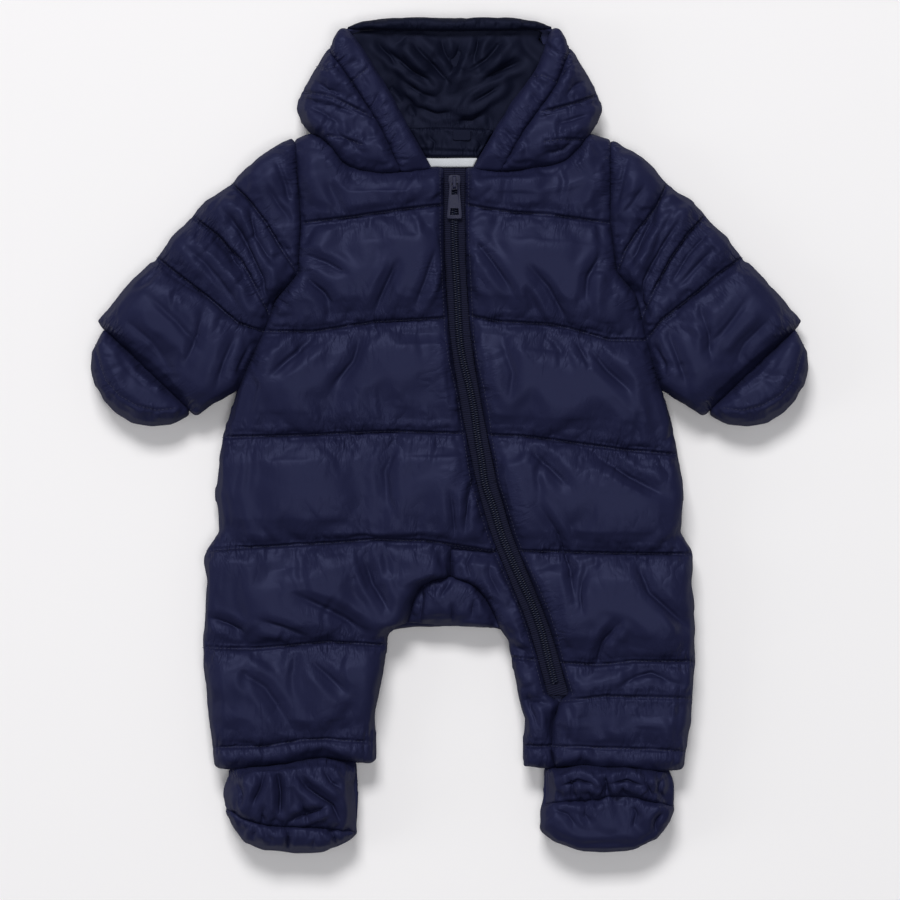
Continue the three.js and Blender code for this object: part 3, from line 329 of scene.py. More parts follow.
def gathers(points, line, spacing, reach, depth, widths):
    """The tucks that run away from a stitched line on both sides, uneven in spacing, length and slant."""
    line = np.array(line, float)
    steps = np.diff(line, axis=0)
    lengths = np.linalg.norm(steps, axis=1)
    starts = np.concatenate([[0], np.cumsum(lengths)])
    total = np.zeros(len(points))
    for side in (1, -1):
        run = spacing * RANDOM.uniform(0.2, 1)
        while run < starts[-1]:
            i = min(np.searchsorted(starts, run, side="right") - 1, len(steps) - 1)
            along = steps[i] / lengths[i]
            root = line[i] + along * (run - starts[i])
            slant = RANDOM.normal(0, TUCK_SLANT)
            out = side * np.array([-along[1], along[0]]) * math.cos(slant) + along * math.sin(slant)
            long = reach * RANDOM.uniform(*TUCK_LENGTHS) ** 1.3
            bend = along * RANDOM.normal(0, TUCK_BEND) * long
            tuck = [root, root + out * long * 0.5 + bend, root + out * long]
            width = RANDOM.uniform(*widths) * MM
            deep = depth * RANDOM.uniform(*TUCK_DEPTHS) * RANDOM.choice(TUCK_SIGNS)
            total += deep * trough(points, tuck, width, TUCK_FADE)
            run += spacing * RANDOM.uniform(*TUCK_GAPS)
    return total


def softened(mesh, values, rounds):
    """Averages a vector at each point with its neighbours', a few times over."""
    pairs = np.zeros(len(mesh.edges) * 2, np.int32)
    mesh.edges.foreach_get("vertices", pairs)
    first, second = pairs.reshape(-1, 2).T
    count = len(values)
    shared = np.maximum(np.bincount(pairs, minlength=count), 1)[:, None]
    for _ in range(rounds):
        around = [np.bincount(first, column[second], count) + np.bincount(second, column[first], count)
                  for column in values.T]
        values = (values + np.stack(around, 1) / shared) / 2
    return values


def note_seams(mesh, points, lines):
    """Writes the `seam` attribute that the nylon's tucks follow, and how `steep` the cloth stands."""
    seam = np.full((len(points), 3), (0, 1, 0), np.float32)
    for number, line in enumerate(lines):
        away, run, _ = near_line(points, np.array(line) * MM)
        nearer = away < seam[:, 1]
        seam[:, 2] = np.where(nearer, seam[:, 1] - away, np.minimum(seam[:, 2], away - seam[:, 1]))
        seam[nearer, 0] = run[nearer] + number
        seam[nearer, 1] = away[nearer]
    mesh.attributes.new("seam", "FLOAT_VECTOR", "POINT").data.foreach_set("vector", seam.ravel())
    steep = 1 - np.abs(normals_of(mesh)[:, 2])
    mesh.attributes.new("steep", "FLOAT", "POINT").data.foreach_set("value", steep.astype(np.float32))


# How cloth swells, where it stays flat, and how folds and stitches press into it
SWELL_FRAMES = 14
SOFTEN_ROUNDS = 4
SIDE_SHARE = 0.7
FOLD_DEPTH = 1.25
CORE_DEPTH = 0.55
CORE_WIDTH = 0.34
NEAR_PLAIN = 0.3
HELD_REACH = 0.62
REGROWN = 0.38
RESTING_HEIGHT = 0.4 * MM
SIDE_SWELL = 1.2
SWELL_OVER = 3 * MM
DEEPEST = 4 * MM
STITCH_VALLEY = 1.4 * MM
# Rows of tucks: spacing, reach, depth and the range of widths, in millimetres
QUILT_TUCKS = ((9, 16, 0.8, (1.0, 2.0)), (30, 55, 1.3, (2.0, 3.4)))
SEAM_TUCKS = ((8, 15, 0.8, (1.0, 2.0)), (32, 40, 1.2, (1.8, 3.0)))


def swelled(name, node, quilting=(), seams=(), folds=(), voxel=3.0, growth=0.06, pressure=4.0, cap=5.0,
            plain_below=None, plain_above=None, still_below=0, finer_levels=1):
    """Cloth on a CAD solid's form. The solid's copy swells in Blender's cloth simulation between its pinned
    quilting, then takes its gathers and folds. `voxel` is its mesh size and `cap` the most it swells, both in
    millimetres. `plain_below` and `plain_above` name a flat inner side's height, and nothing under
    `still_below` swells."""
    piece = merged_copy(node, name)
    even = piece.modifiers.new("even", "REMESH")
    even.mode = "VOXEL"
    even.voxel_size = voxel * MM
    mesh = applied(piece)
    start = points_of(mesh)
    normals = normals_of(mesh)
    inner = np.zeros(len(start), bool)
    if plain_below is not None:
        inner = start[:, 2] < plain_below + NEAR_PLAIN * voxel * MM
    if plain_above is not None:
        inner = start[:, 2] > plain_above - NEAR_PLAIN * voxel * MM
    low = start.min(0)[2]
    high = start.max(0)[2]
    resting = start[:, 2] < max(RESTING_HEIGHT, still_below)
    pressed = np.zeros(len(start))
    for line, width, depth in folds:
        pressed += FOLD_DEPTH * depth * MM * trough(start, np.array(line) * MM, width * MM, 0.35)
    pressed *= smooth(np.abs(normals[:, 2]) / SIDE_SHARE)
    start = start - normals * np.where(inner, 0, pressed)[:, None]
    move_points(mesh, start)
    held = inner | resting
    for line in [q[0] for q in quilting] + [s[0] for s in seams]:
        held |= near_line(start, np.array(line) * MM)[0] < HELD_REACH * voxel * MM
    pins = piece.vertex_groups.new(name="held")
    pins.add(np.flatnonzero(held).tolist(), 1.0, "REPLACE")
    cloth = piece.modifiers.new("swell", "CLOTH")
    cloth.settings.quality = 4
    cloth.settings.mass = 0.15
    cloth.settings.bending_stiffness = 0.4
    cloth.settings.use_pressure = True
    cloth.settings.uniform_pressure_force = pressure
    cloth.settings.shrink_min = -growth
    cloth.settings.vertex_group_mass = "held"
    cloth.settings.effector_weights.gravity = 0
    cloth.collision_settings.use_collision = False
    cloth.point_cache.frame_end = SWELL_FRAMES
    for step in range(1, SWELL_FRAMES + 1):
        bpy.context.scene.frame_set(step)
    mesh = applied(piece)
    piece.vertex_groups.clear()
    moved = softened(mesh, points_of(mesh) - start, SOFTEN_ROUNDS)
    far = np.linalg.norm(moved, axis=1, keepdims=True)
    flat_on = smooth((np.abs(normals[:, 2:]) - 0.1) / 0.85)
    most = MM * (SIDE_SWELL + (cap - SIDE_SWELL) * flat_on)
    soft = most * np.tanh(far / most)
    start = start + moved * soft / np.maximum(far, 1e-9)
    start[:, 2] = np.clip(start[:, 2], max(low, 0), high + SWELL_OVER)
    move_points(mesh, start)
    finer = piece.modifiers.new("finer", "SUBSURF")
    finer.levels = finer.render_levels = finer_levels
    mesh = applied(piece)
    points = points_of(mesh)
    normals = normals_of(mesh)
    sunk = np.zeros(len(points))
    for line, width, depth in folds:
        core = trough(points, np.array(line) * MM, CORE_WIDTH * width * MM, TUCK_FADE)
        sunk += CORE_DEPTH * depth * MM * core
    for line, depth, tuck in quilting:
        line = np.array(line) * MM
        sunk += depth * MM * trough(points, line, STITCH_VALLEY, 0.02)
        for spacing, reach, deep, widths in QUILT_TUCKS:
            sunk += gathers(points, line, spacing * MM, reach * MM, deep * tuck * MM, widths)
    for line, tuck in seams:
        for spacing, reach, deep, widths in SEAM_TUCKS:
            sunk += gathers(points, np.array(line) * MM, spacing * MM, reach * MM, deep * tuck * MM, widths)
    sunk *= smooth(np.abs(normals[:, 2]) / SIDE_SHARE)
    plain = np.zeros(len(points), bool)
    if plain_below is not None:
        plain = points[:, 2] < plain_below + NEAR_PLAIN * MM
    if plain_above is not None:
        plain = points[:, 2] > plain_above - NEAR_PLAIN * MM
    regrown = REGROWN * voxel * MM * (points[:, 2] > still_below)
    points += normals * np.where(plain, 0, regrown - np.minimum(sunk, DEEPEST))[:, None]
    points[:, 2] = np.maximum(points[:, 2], 0)
    move_points(mesh, points)
    note_seams(mesh, points, [q[0] for q in quilting] + [s[0] for s in seams])
    if plain.any():
        shape = bmesh.new()
        shape.from_mesh(mesh)
        shape.verts.ensure_lookup_table()
        flat = [face for face in shape.faces if all(plain[v.index] for v in face.verts)]
        bmesh.ops.dissolve_faces(shape, faces=flat)
        shape.to_mesh(mesh)
        shape.free()
    return piece


stitched_rows = []
STITCH_PROBE = 1.5 * MM


def sew(piece, *lines):
    """Notes where lines of lockstitch lie on a piece's upper face, for the thread that is sewn in last."""
    surface = BVHTree.FromObject(piece, bpy.context.evaluated_depsgraph_get())
    for line in lines:
        row = []
        for start, end in zip(line[:-1], line[1:]):
            start, end = Vector(start) * MM, Vector(end) * MM
            steps = max(1, round((end - start).length / STITCH_PROBE))
            for step in range(steps):
                x, y = start.lerp(end, step / steps)
                place = surface.ray_cast(Vector((x, y, 0.1)), Vector((0, 0, -1)))[0]
                if place is not None:
                    row.append(place)
        if len(row) > 2:
            stitched_rows.append(row)


def dress(piece, material, node=None, body="suit"):
    """Gives a finished piece its material and its body, and hides the CAD node that it stands for."""
    piece.data.shade_smooth()
    piece.data.materials.clear()
    piece.data.materials.append(material)
    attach(piece, body)
    if node is not None:
        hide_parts(node)


def padded_cloth(name, node, quilting=(), seams=(), folds=(), fill=0.6, topstitch=(), **sizes):
    piece = swelled(name, node, quilting, seams, folds, **sizes)
    sew(piece, *(line for line, _, _ in quilting), *topstitch)
    dress(piece, shell_nylon, node)
    return piece


BACK_QUILTING = [
    ([(-121, 172), (-60, 178), (0, 181), (60, 179), (131, 172)], 1.2, 0.7),
    ([(-152, 84), (-100, 90), (0, 93), (100, 88), (160, 77)], 1.2, 0.7),
    ([(-186, -2), (-90, 2), (0, 1), (90, -6), (186, -14)], 1.2, 0.7),
    ([(-196, -91), (-100, -88), (0, -90), (100, -96), (198, -101)], 1.2, 0.7),
    ([(-200, -172), (-120, -171), (-50, -170)], 1.2, 0.7),
    ([(50, -181), (120, -187), (199, -185)], 1.2, 0.7),
]
BACK_INNER = 20 * MM
padded_cloth("back_panel", "back", BACK_QUILTING, voxel=4.4, plain_above=BACK_INNER, pressure=2.0, cap=3)

# Fronts: the right one from shoulder to hem, up to the slanting zip, and the left one outside it. Both are
# quilted in bands with one line of lockstitch each, and topstitched along the zip.
FRONT_BASE = 20.3 * MM
YOKE_RIGHT = [(-121, 172), (-80, 177), (-40, 183), (-5.5, 187)]
CHEST_RIGHT = [(-151, 84), (-110, 84), (-60, 92), (-2.3, 95)]
WAIST_RIGHT = [(-184, -2), (-115, 0), (-50, 3), (13, 1)]
HIP_RIGHT = [(-197, -94), (-170, -92), (-100, -88), (-60, -85), (-20, -86), (1, -89), (38, -95)]
THIGH_RIGHT = [(-200, -173), (-160, -174), (-120, -170), (-100, -168), (-51, -171)]
HEMSTITCH_RIGHT = [(-192, -254), (-150, -253), (-120, -248), (-100, -247), (-61, -250)]
ARMHOLE_RIGHT = [(-126, 240), (-121, 172), (-123, 131), (-141, 110), (-151, 84), (-171, 39)]
NECK_RIGHT = [(-110, 245), (-97, 238), (-88, 222), (-75, 216), (-58, 213), (-40, 214), (-17, 218)]
FOLDS_RIGHT = [
    ([(-40, 146), (-52, 120), (-62, 98)], 5, 3.2),
    ([(-10, 156), (-20, 125), (-30, 100)], 4, 2.4),
    ([(-122, 148), (-100, 140), (-78, 128)], 4, 2.6),
    ([(-120, 130), (-102, 116), (-92, 102)], 5, 2.8),
    ([(-105, 84), (-125, 66), (-150, 44)], 6, 3.2),
    ([(-70, 86), (-78, 60), (-100, 34)], 5, 2.2),
    ([(0, -40), (3, -62), (5, -86)], 3, 2.6),
    ([(20, -26), (15, -55), (12, -86)], 3, 2.4),
    ([(-40, -4), (-52, -30), (-48, -60)], 6, 1.8),
    ([(-135, -125), (-98, -142), (-60, -164)], 6, 3.2),
    ([(-72, -95), (-62, -122), (-45, -148)], 5, 3.0),
    ([(-198, -147), (-180, -153), (-163, -161)], 4, 2.4),
    ([(-160, -148), (-136, -155), (-110, -165)], 4, 2.2),
    ([(-117, -180), (-98, -196), (-80, -212)], 5, 2.6),
    ([(-180, -186), (-150, -205), (-128, -236)], 6, 2.0),
]
YOKE_LEFT = [(13.4, 187), (30, 184), (50, 181), (80, 179), (131, 172)]
CHEST_LEFT = [(16.3, 97), (40, 92), (80, 90), (100, 86), (130, 77), (160, 77)]
WAIST_LEFT = [(32, 0), (60, -1), (90, -5), (140, -12), (185, -16)]
HIP_LEFT = [(57.4, -94), (120, -96), (198, -97)]
THIGH_LEFT = [(91, -185), (120, -187), (150, -184), (199.5, -184)]
KNEE_LEFT = [(90.2, -216.5), (125, -212), (197, -214)]
HEMSTITCH_LEFT = [(83.3, -253), (150, -255), (191.5, -257)]
ARMHOLE_LEFT = [(131, 240), (131, 172), (136, 132), (152, 113), (160, 77), (171, 39)]
NECK_LEFT = [(22, 217), (45, 217), (70, 218), (95, 222), (110, 235), (115, 243)]
FOLDS_LEFT = [
    ([(60, 142), (80, 120), (100, 84)], 5, 3.0), ([(15, 166), (35, 140), (56, 110)], 4, 2.6),
    ([(124, 150), (112, 128), (110, 104)], 5, 2.4), ([(100, 80), (108, 66), (115, 50)], 4, 2.2),
    ([(108, 75), (128, 52), (152, 31)], 5, 3.0), ([(40, 84), (52, 50), (48, 22)], 6, 1.8),
    ([(60, -8), (80, -26), (102, -46)], 5, 2.8), ([(112, -12), (145, -34), (180, -52)], 5, 3.0),
    ([(70, -52), (88, -80), (98, -110), (103, -150)], 3.4, 3.0),
    ([(150, -100), (162, -128), (199, -162)], 5, 3.2),
    ([(142, -148), (124, -168), (118, -192)], 4, 2.8),
    ([(108, -108), (106, -130), (109, -150)], 3, 1.8),
    ([(130, -208), (150, -197), (164, -193), (192, -206)], 4, 2.4),
]
ZIP_MIDDLE = [
    (4, 217), (4, 160), (6, 120), (8, 80), (11, 60), (16, 40), (20, 20), (22.5, 0), (26, -20), (29, -40),
    (36, -60), (42, -80), (50, -100), (59, -120), (68, -140), (75, -160), (80, -180), (86, -203), (89, -212),
]
ZIP_HALF = 9.4
zip_edge_right = [(x - ZIP_HALF, y) for x, y in ZIP_MIDDLE]
zip_edge_left = [(x + ZIP_HALF, y) for x, y in ZIP_MIDDLE]
TOPSTITCH_IN = 2.2
zip_stitch_right = [(x - TOPSTITCH_IN, y) for x, y in zip_edge_right]
zip_stitch_left = [(x + TOPSTITCH_IN, y) for x, y in zip_edge_left]
padded_cloth(
    "right_front", "front_right",
    [(YOKE_RIGHT, 2, 1), (CHEST_RIGHT, 2, 1), (WAIST_RIGHT, 2, 1), (HIP_RIGHT, 2, 1),
     (THIGH_RIGHT, 1.6, 1), (HEMSTITCH_RIGHT, 1.2, 0.8)],
    [(ARMHOLE_RIGHT, 0.9), (NECK_RIGHT, 0.9), (zip_edge_right, 0.7)],
    FOLDS_RIGHT, topstitch=[zip_stitch_right], plain_below=FRONT_BASE)
padded_cloth(
    "left_front", "front_left",
    [(YOKE_LEFT, 2, 1), (CHEST_LEFT, 2, 1), (WAIST_LEFT, 2, 1), (HIP_LEFT, 2, 1),
     (THIGH_LEFT, 1.6, 1), (KNEE_LEFT, 1.6, 1), (HEMSTITCH_LEFT, 1.2, 0.8)],
    [(ARMHOLE_LEFT, 0.9), (NECK_LEFT, 0.9), (zip_edge_left, 0.7)],
    FOLDS_LEFT, topstitch=[zip_stitch_left], plain_below=FRONT_BASE)

# Inner front of the left leg and the arched gusset: two small panels that close the crotch. Both are sewn in
# with a gathered seam, which draws the arch into little tucks.
GUSSET_ARCH = [(-35, -153), (-30, -135), (-23, -121), (-9, -117), (1, -115.5), (11, -117.5), (21, -122.5),
               (30, -133), (38, -148), (42, -157)]
CENTRE_SEAM = [(1, -88), (1, -116)]
padded_cloth(
    "left_leg_inner", "leg_left_inner",
    [
        ([(-1, -91), (36, -95)], 1.6, 1), ([(50, -181), (78, -184)], 1.4, 0.9),
        ([(60, -253), (84, -253)], 1.2, 0.8),
    ],
    [(GUSSET_ARCH, 0.8), (CENTRE_SEAM, 0.8), (zip_edge_right, 0.7)],
    [([(20, -92), (14, -104), (18, -119)], 2, 1.6), ([(32, -98), (33, -115), (44, -136)], 3, 1.2),
     ([(50, -170), (62, -176), (70, -190)], 3, 1.6), ([(62, -200), (66, -222), (76, -244)], 3, 1.4)],
    topstitch=[zip_stitch_right], voxel=2.2, plain_below=FRONT_BASE)
padded_cloth(
    "gusset", "crotch_gusset", [], [(GUSSET_ARCH, 1.1)],
    [
        ([(-21, -124), (-24, -153)], 2.2, 2.2), ([(0, -120), (-8, -133)], 1.8, 1.4),
        ([(2, -136), (3, -153)], 2, 2), ([(20, -130), (18, -150)], 2.2, 1.6),
        ([(-13, -121), (-12, -134)], 1.6, 1.2),
    ],
    voxel=2.2, plain_below=FRONT_BASE)

# Sleeves: one quilted piece each, folded at the overarm and sewn in at the armhole. The stitch lines fan out
# from the underarm, where the wadding is pinched into deep folds.
SLEEVE_QUILTING_RIGHT = [
    ([(-177, 204), (-164, 192), (-149, 172), (-136, 150), (-123, 131)], 2, 1),
    ([(-209.5, 178), (-188, 162), (-169, 142), (-156, 117), (-146, 97)], 2, 1),
    ([(-238, 144), (-199, 114), (-172, 91), (-151, 84)], 2, 1),
]
SLEEVE_QUILTING_LEFT = [
    ([(177, 204), (168, 185), (153, 166), (143, 150), (136, 132)], 2, 1.1),
    ([(208.5, 178.5), (195, 165), (180, 144), (167, 119), (156, 95)], 2, 1),
    ([(238, 144), (220, 132), (200, 115), (173, 94), (160, 77)], 2, 1),
]
CUFF_RIGHT = [(-286, 92), (-262, 76), (-250, 60), (-242, 50), (-225, 32), (-212, 20), (-206, 15)]
CUFF_LEFT = [(-x, y) for x, y in CUFF_RIGHT]
SLEEVE_FOLDS_RIGHT = [
    ([(-182, 184), (-163, 152), (-151, 126), (-147, 97)], 4, 4.0),
    ([(-163, 187), (-158, 162), (-141, 134)], 3.4, 3.4),
    ([(-134, 124), (-141, 110), (-147, 97)], 4.4, 4.0),
    ([(-197, 168), (-180, 150), (-166, 128)], 3.4, 2.6),
    ([(-143, 228), (-134, 205), (-128, 180)], 5, 2.0),
    ([(-150, 205), (-138, 186), (-127, 172)], 4, 2.0),
    ([(-190, 190), (-172, 168), (-158, 150)], 5, 1.8),
    ([(-222, 160), (-200, 140), (-176, 108)], 5, 2.0),
    ([(-206, 150), (-186, 126), (-168, 100)], 4, 1.8), ([(-250, 118), (-222, 92), (-196, 62)], 6, 2.2),
    ([(-268, 98), (-242, 76), (-222, 50)], 5, 1.6), ([(-172, 84), (-182, 62), (-192, 34)], 5, 2.2),
    ([(-200, 106), (-204, 82), (-216, 54)], 4, 1.6), ([(-160, 78), (-170, 58), (-176, 44)], 4, 2.0),
]
SLEEVE_FOLDS_LEFT = [
    ([(192, 182), (172, 152), (158, 126), (157, 97)], 4, 4.0),
    ([(172, 190), (160, 166), (146, 136)], 3.4, 3.4), ([(143, 126), (150, 112), (156, 97)], 4.4, 3.6),
    ([(214, 168), (194, 146), (176, 118)], 3.4, 2.6), ([(146, 228), (140, 205), (135, 182)], 5, 2.0),
    ([(160, 206), (150, 190), (138, 176)], 4, 1.8), ([(188, 190), (172, 165), (160, 138)], 5, 2.0),
    ([(222, 158), (200, 136), (178, 112)], 5, 2.2), ([(150, 130), (158, 106), (160, 86)], 4, 2.6),
    ([(248, 118), (226, 88), (200, 60)], 6, 2.2), ([(266, 100), (240, 74), (228, 52)], 5, 1.6),
    ([(176, 88), (186, 60), (196, 34)], 5, 2.2), ([(202, 108), (210, 84), (212, 56)], 4, 1.8),
    ([(164, 78), (174, 60), (178, 44)], 4, 2.0),
]
padded_cloth("right_sleeve", "sleeve_right", SLEEVE_QUILTING_RIGHT, [(ARMHOLE_RIGHT, 1), (CUFF_RIGHT, 0.9)],
             SLEEVE_FOLDS_RIGHT)
padded_cloth("left_sleeve", "sleeve_left", SLEEVE_QUILTING_LEFT, [(ARMHOLE_LEFT, 1), (CUFF_LEFT, 0.9)],
             SLEEVE_FOLDS_LEFT)

# Mittens: padded pouches of the same nylon that fold over and close the cuffs. Each is sewn to its sleeve's
# hem, with a bound edge towards the fingertips.
MITTEN_BINDING_RIGHT = [(-289, 76), (-284, 58), (-279, 44), (-268, 32), (-254, 24), (-238, 20), (-222, 22)]
MITTEN_BINDING_LEFT = [(-x, y) for x, y in MITTEN_BINDING_RIGHT]
for name, node, binding, cuff in (
    ("right_mitten", "mitten_right", MITTEN_BINDING_RIGHT, CUFF_RIGHT),
    ("left_mitten", "mitten_left", MITTEN_BINDING_LEFT, CUFF_LEFT),
):
    padded_cloth(name, node, [(binding, 0.6, 0.6)], [(cuff, 1.2)], voxel=2.4, growth=0.02)

# Hood: two padded halves, folded round at the silhouette, with short stitched tucks from the outline, and a
# padded band round the face opening. The seam between them is drawn up into close tucks.
HOOD_LOWER_TOP = 18 * MM
BAND_SEAM_RIGHT = [(-98, 313), (-79, 285), (-60, 257), (-41, 219)]
BAND_SEAM_LEFT = [(97, 311), (87, 283), (72, 262), (60, 246), (45, 218)]
HOOD_QUILTING_RIGHT = [
    ([(-119, 279), (-97, 275), (-80, 267), (-61, 257)], 2, 1.2),
    ([(-108, 300), (-100, 297), (-91, 300)], 1.2, 0.9),
    ([(-99, 243), (-86, 241), (-70, 235)], 1.4, 0.9),
]
HOOD_QUILTING_LEFT = [
    ([(119, 276), (104, 270), (90, 266), (74, 262)], 2, 1.3),
    ([(104, 304), (97, 300), (91, 292)], 1.2, 0.9),
    ([(108, 240), (92, 240), (76, 238)], 1.4, 0.9),
]
padded_cloth(
    "right_hood_side", "hood_side_right", HOOD_QUILTING_RIGHT, [(BAND_SEAM_RIGHT, 1.1), (NECK_RIGHT, 0.8)],
    [([(-112, 290), (-98, 280), (-82, 276)], 4, 2), ([(-118, 268), (-104, 262), (-84, 250)], 4, 2),
     ([(-100, 252), (-84, 240), (-66, 226)], 4, 2), ([(-96, 306), (-90, 296), (-84, 290)], 3, 1.4)],
    voxel=2.6, growth=0.035, still_below=HOOD_LOWER_TOP)
padded_cloth(
    "left_hood_side", "hood_side_left", HOOD_QUILTING_LEFT, [(BAND_SEAM_LEFT, 1.2), (NECK_LEFT, 0.8)],
    [([(112, 290), (100, 282), (92, 272)], 4, 2), ([(118, 262), (100, 256), (84, 252)], 4, 2.2),
     ([(108, 246), (92, 232), (70, 226)], 4, 2), ([(96, 306), (92, 296), (90, 288)], 3, 1.4)],
    voxel=2.6, growth=0.035, still_below=HOOD_LOWER_TOP)
padded_cloth(
    "right_hood_band", "hood_band_right", [([(-91, 276), (-78, 288), (-66, 298)], 0.9, 0.7)],
    [(BAND_SEAM_RIGHT, 1.2)],
    [([(-56, 280), (-62, 268), (-66, 262)], 3, 1.2), ([(-40, 250), (-46, 240), (-50, 232)], 3, 1.2)],
    voxel=2.2, growth=0.02)
padded_cloth(
    "left_hood_band", "hood_band_left", [([(88, 286), (76, 292), (68, 291)], 0.9, 0.7)],
    [(BAND_SEAM_LEFT, 1.3)],
    [([(64, 280), (72, 270), (76, 264)], 3, 1.2), ([(42, 250), (50, 240), (54, 230)], 3, 1.2)],
    voxel=2.2, growth=0.02)

# Booties: a gathered padded upper of the same nylon that comes out of the leg's hem, and a padded sole that
# turns up at the toe and is sewn to it.
TOE_SEAM_RIGHT = [
    (-180, -306), (-165, -312), (-150, -317), (-135, -319), (-115, -318), (-95, -320), (-78, -326),
]
TOE_SEAM_LEFT = [(82, -301), (95, -297), (120, -296), (130, -292), (150, -293), (165, -298), (180, -306)]
HEM_RIGHT = [(-190, -270), (-178, -271), (-150, -269), (-130, -266), (-115, -263), (-100, -262), (-61, -266)]
HEM_LEFT = [(61, -269), (75, -270), (100, -268), (140, -269), (160, -272), (190, -272)]
padded_cloth(
    "right_boot_upper", "boot_upper_right", [], [(TOE_SEAM_RIGHT, 1.5), (HEM_RIGHT, 1.1)],
    [
        ([(-140, -270), (-137, -290), (-138, -312)], 3.4, 5.0),
        ([(-127, -272), (-116, -286), (-95, -300), (-87, -318)], 3.4, 5.0),
        ([(-133, -315), (-115, -307), (-95, -300)], 3.0, 4.0),
        ([(-150, -274), (-153, -286), (-161, -302)], 3.0, 3.4),
        ([(-172, -280), (-168, -292), (-170, -304)], 3.0, 2.4),
        ([(-104, -270), (-96, -282), (-86, -288)], 3.0, 2.8),
        ([(-122, -296), (-116, -308), (-114, -316)], 2.4, 2.6),
        ([(-150, -300), (-152, -308), (-150, -316)], 2.4, 2.4),
    ],
    voxel=2.2, plain_below=FRONT_BASE)
padded_cloth(
    "left_boot_upper", "boot_upper_left", [], [(TOE_SEAM_LEFT, 1.6), (HEM_LEFT, 1.1)],
    [
        ([(88, -286), (104, -280), (120, -284)], 3, 3.4),
        ([(125, -274), (128, -284), (127, -294)], 3, 4.2),
        ([(128, -284), (144, -280), (160, -286)], 3, 3.4),
        ([(96, -274), (100, -284), (98, -295)], 2.6, 2.6),
        ([(112, -288), (114, -292), (118, -296)], 2.4, 2.4),
        ([(158, -274), (160, -284), (166, -296)], 2.8, 2.8),
        ([(172, -278), (170, -288), (176, -298)], 2.6, 2.4),
        ([(140, -284), (141, -289), (146, -293)], 2.4, 2.2),
    ],
    voxel=2.2, plain_below=FRONT_BASE)
padded_cloth(
    "right_boot_sole", "boot_sole_right", [], [(TOE_SEAM_RIGHT, 1.4)],
    [
        ([(-131.5, -318), (-131, -328), (-131.5, -339)], 2.6, 3.6),
        ([(-98, -319), (-94, -326), (-92, -334)], 2.6, 2.6),
        ([(-160, -316), (-158, -322), (-160, -330)], 2.4, 2.0),
        ([(-112, -320), (-110, -328), (-112, -336)], 2.2, 2.0),
    ],
    voxel=2.4)
padded_cloth(
    "left_boot_sole", "boot_sole_left", [], [(TOE_SEAM_LEFT, 1.3)],
    [([(84, -304), (96, -308), (104, -318)], 3, 2.2), ([(112, -298), (110, -308), (116, -316)], 3, 1.8),
     ([(148, -297), (152, -308), (148, -320)], 3, 2.0), ([(176, -304), (168, -312), (166, -326)], 3, 2.4)],
    voxel=2.4, growth=0.05)

# Hood lining: a thin dark cloth that lies loose in the opening, in soft folds that fan out from its middle,
# with a faced strip along the top edge.
LINING_DARK = (0.0022, 0.0029, 0.0085, 1)
LINING_LIGHT = (0.0045, 0.0055, 0.0150, 1)
lining_cloth = nylon("lining_cloth", LINING_DARK, LINING_LIGHT, 0.5)
LINING_FOLDS = [
    ([(-34, 322), (-12, 300), (4, 282)], 4, 3.0), ([(-52, 316), (-30, 296), (-10, 286)], 3.4, 2.4),
    ([(10, 322), (4, 304), (0, 290)], 3.4, 2.4), ([(46, 324), (30, 306), (12, 294)], 4, 3.0),
    ([(62, 306), (44, 298), (24, 288)], 3.4, 2.4), ([(-8, 324), (-4, 312), (2, 300)], 3, 1.8),
    ([(-40, 290), (-22, 278), (-6, 274)], 3.4, 2.0), ([(44, 286), (28, 276), (14, 268)], 3.4, 2.2),
    ([(-28, 268), (-10, 262), (6, 264)], 3, 1.6), ([(30, 262), (18, 256), (4, 256)], 3, 1.6),
    ([(-62, 322), (-48, 308), (-42, 296)], 3, 1.8), ([(24, 326), (22, 314), (18, 300)], 3, 1.8),
]
COLLAR_SEAM = [(-34, 253), (-15, 252), (5, 250), (22, 248), (38, 245)]
LINING_BASE = 17.3 * MM
lining = swelled("lining_folds", "hood_lining", [], [(COLLAR_SEAM, 0.8)], LINING_FOLDS, voxel=2.4,
                 growth=0.12, pressure=1.5, cap=4, plain_below=LINING_BASE)
dress(lining, lining_cloth, "hood_lining")


FACING_SEAM = [(-72, 330), (0, 331), (72, 330)]
facing = swelled("hood_top_band", "hood_band_top", [], [(FACING_SEAM, 0.8)], voxel=1.8, growth=0.04, cap=2)
dress(facing, lining_cloth, "hood_band_top")

# Inner neck: a folded collar band below the hood's seam, a narrow pale lining strip under it, and a flat loop
# to hang the suit by, sewn in at both ends.
COLLAR_STITCH = [(-26, 232), (0, 231), (26, 230)]
COLLAR_FOLDS = [
    ([(-20, 246), (-12, 238), (-14, 228)], 2.4, 0.8),
    ([(20, 244), (26, 236), (20, 228)], 2.4, 0.8),
]
collar = swelled("collar", "collar_band", [(COLLAR_STITCH, 0.6, 0.3)], [(COLLAR_SEAM, 0.6)], COLLAR_FOLDS,
                 voxel=1.4, growth=0.03, cap=1)
dress(collar, lining_cloth, "collar_band")

pale_weave, pale_shader, pale_place = new_material("pale_weave")
pale_threads = pale_place.node("ShaderNodeTexWave", None, {
    "Vector": pale_place, "Scale": 900.0, "Distortion": 0.6})
feed(pale_shader, Roughness=0.75, Normal=bump(pale_threads, 0.0001, 0.5), Base_Color=blend_colours(
    noise(pale_place, 90) * 0.5 + pale_threads * 0.5, (0.5, 0.52, 0.56, 1), (0.66, 0.68, 0.71, 1)))
pale_strip = swelled("neck_strip", "neck_lining", voxel=0.9, growth=0.02, cap=0.6)
dress(pale_strip, pale_weave, "neck_lining")

loop = swelled("hanging_loop", "hanger_loop", voxel=0.5, growth=0.01, cap=0.4)
dress(loop, lining_cloth, "hanger_loop")

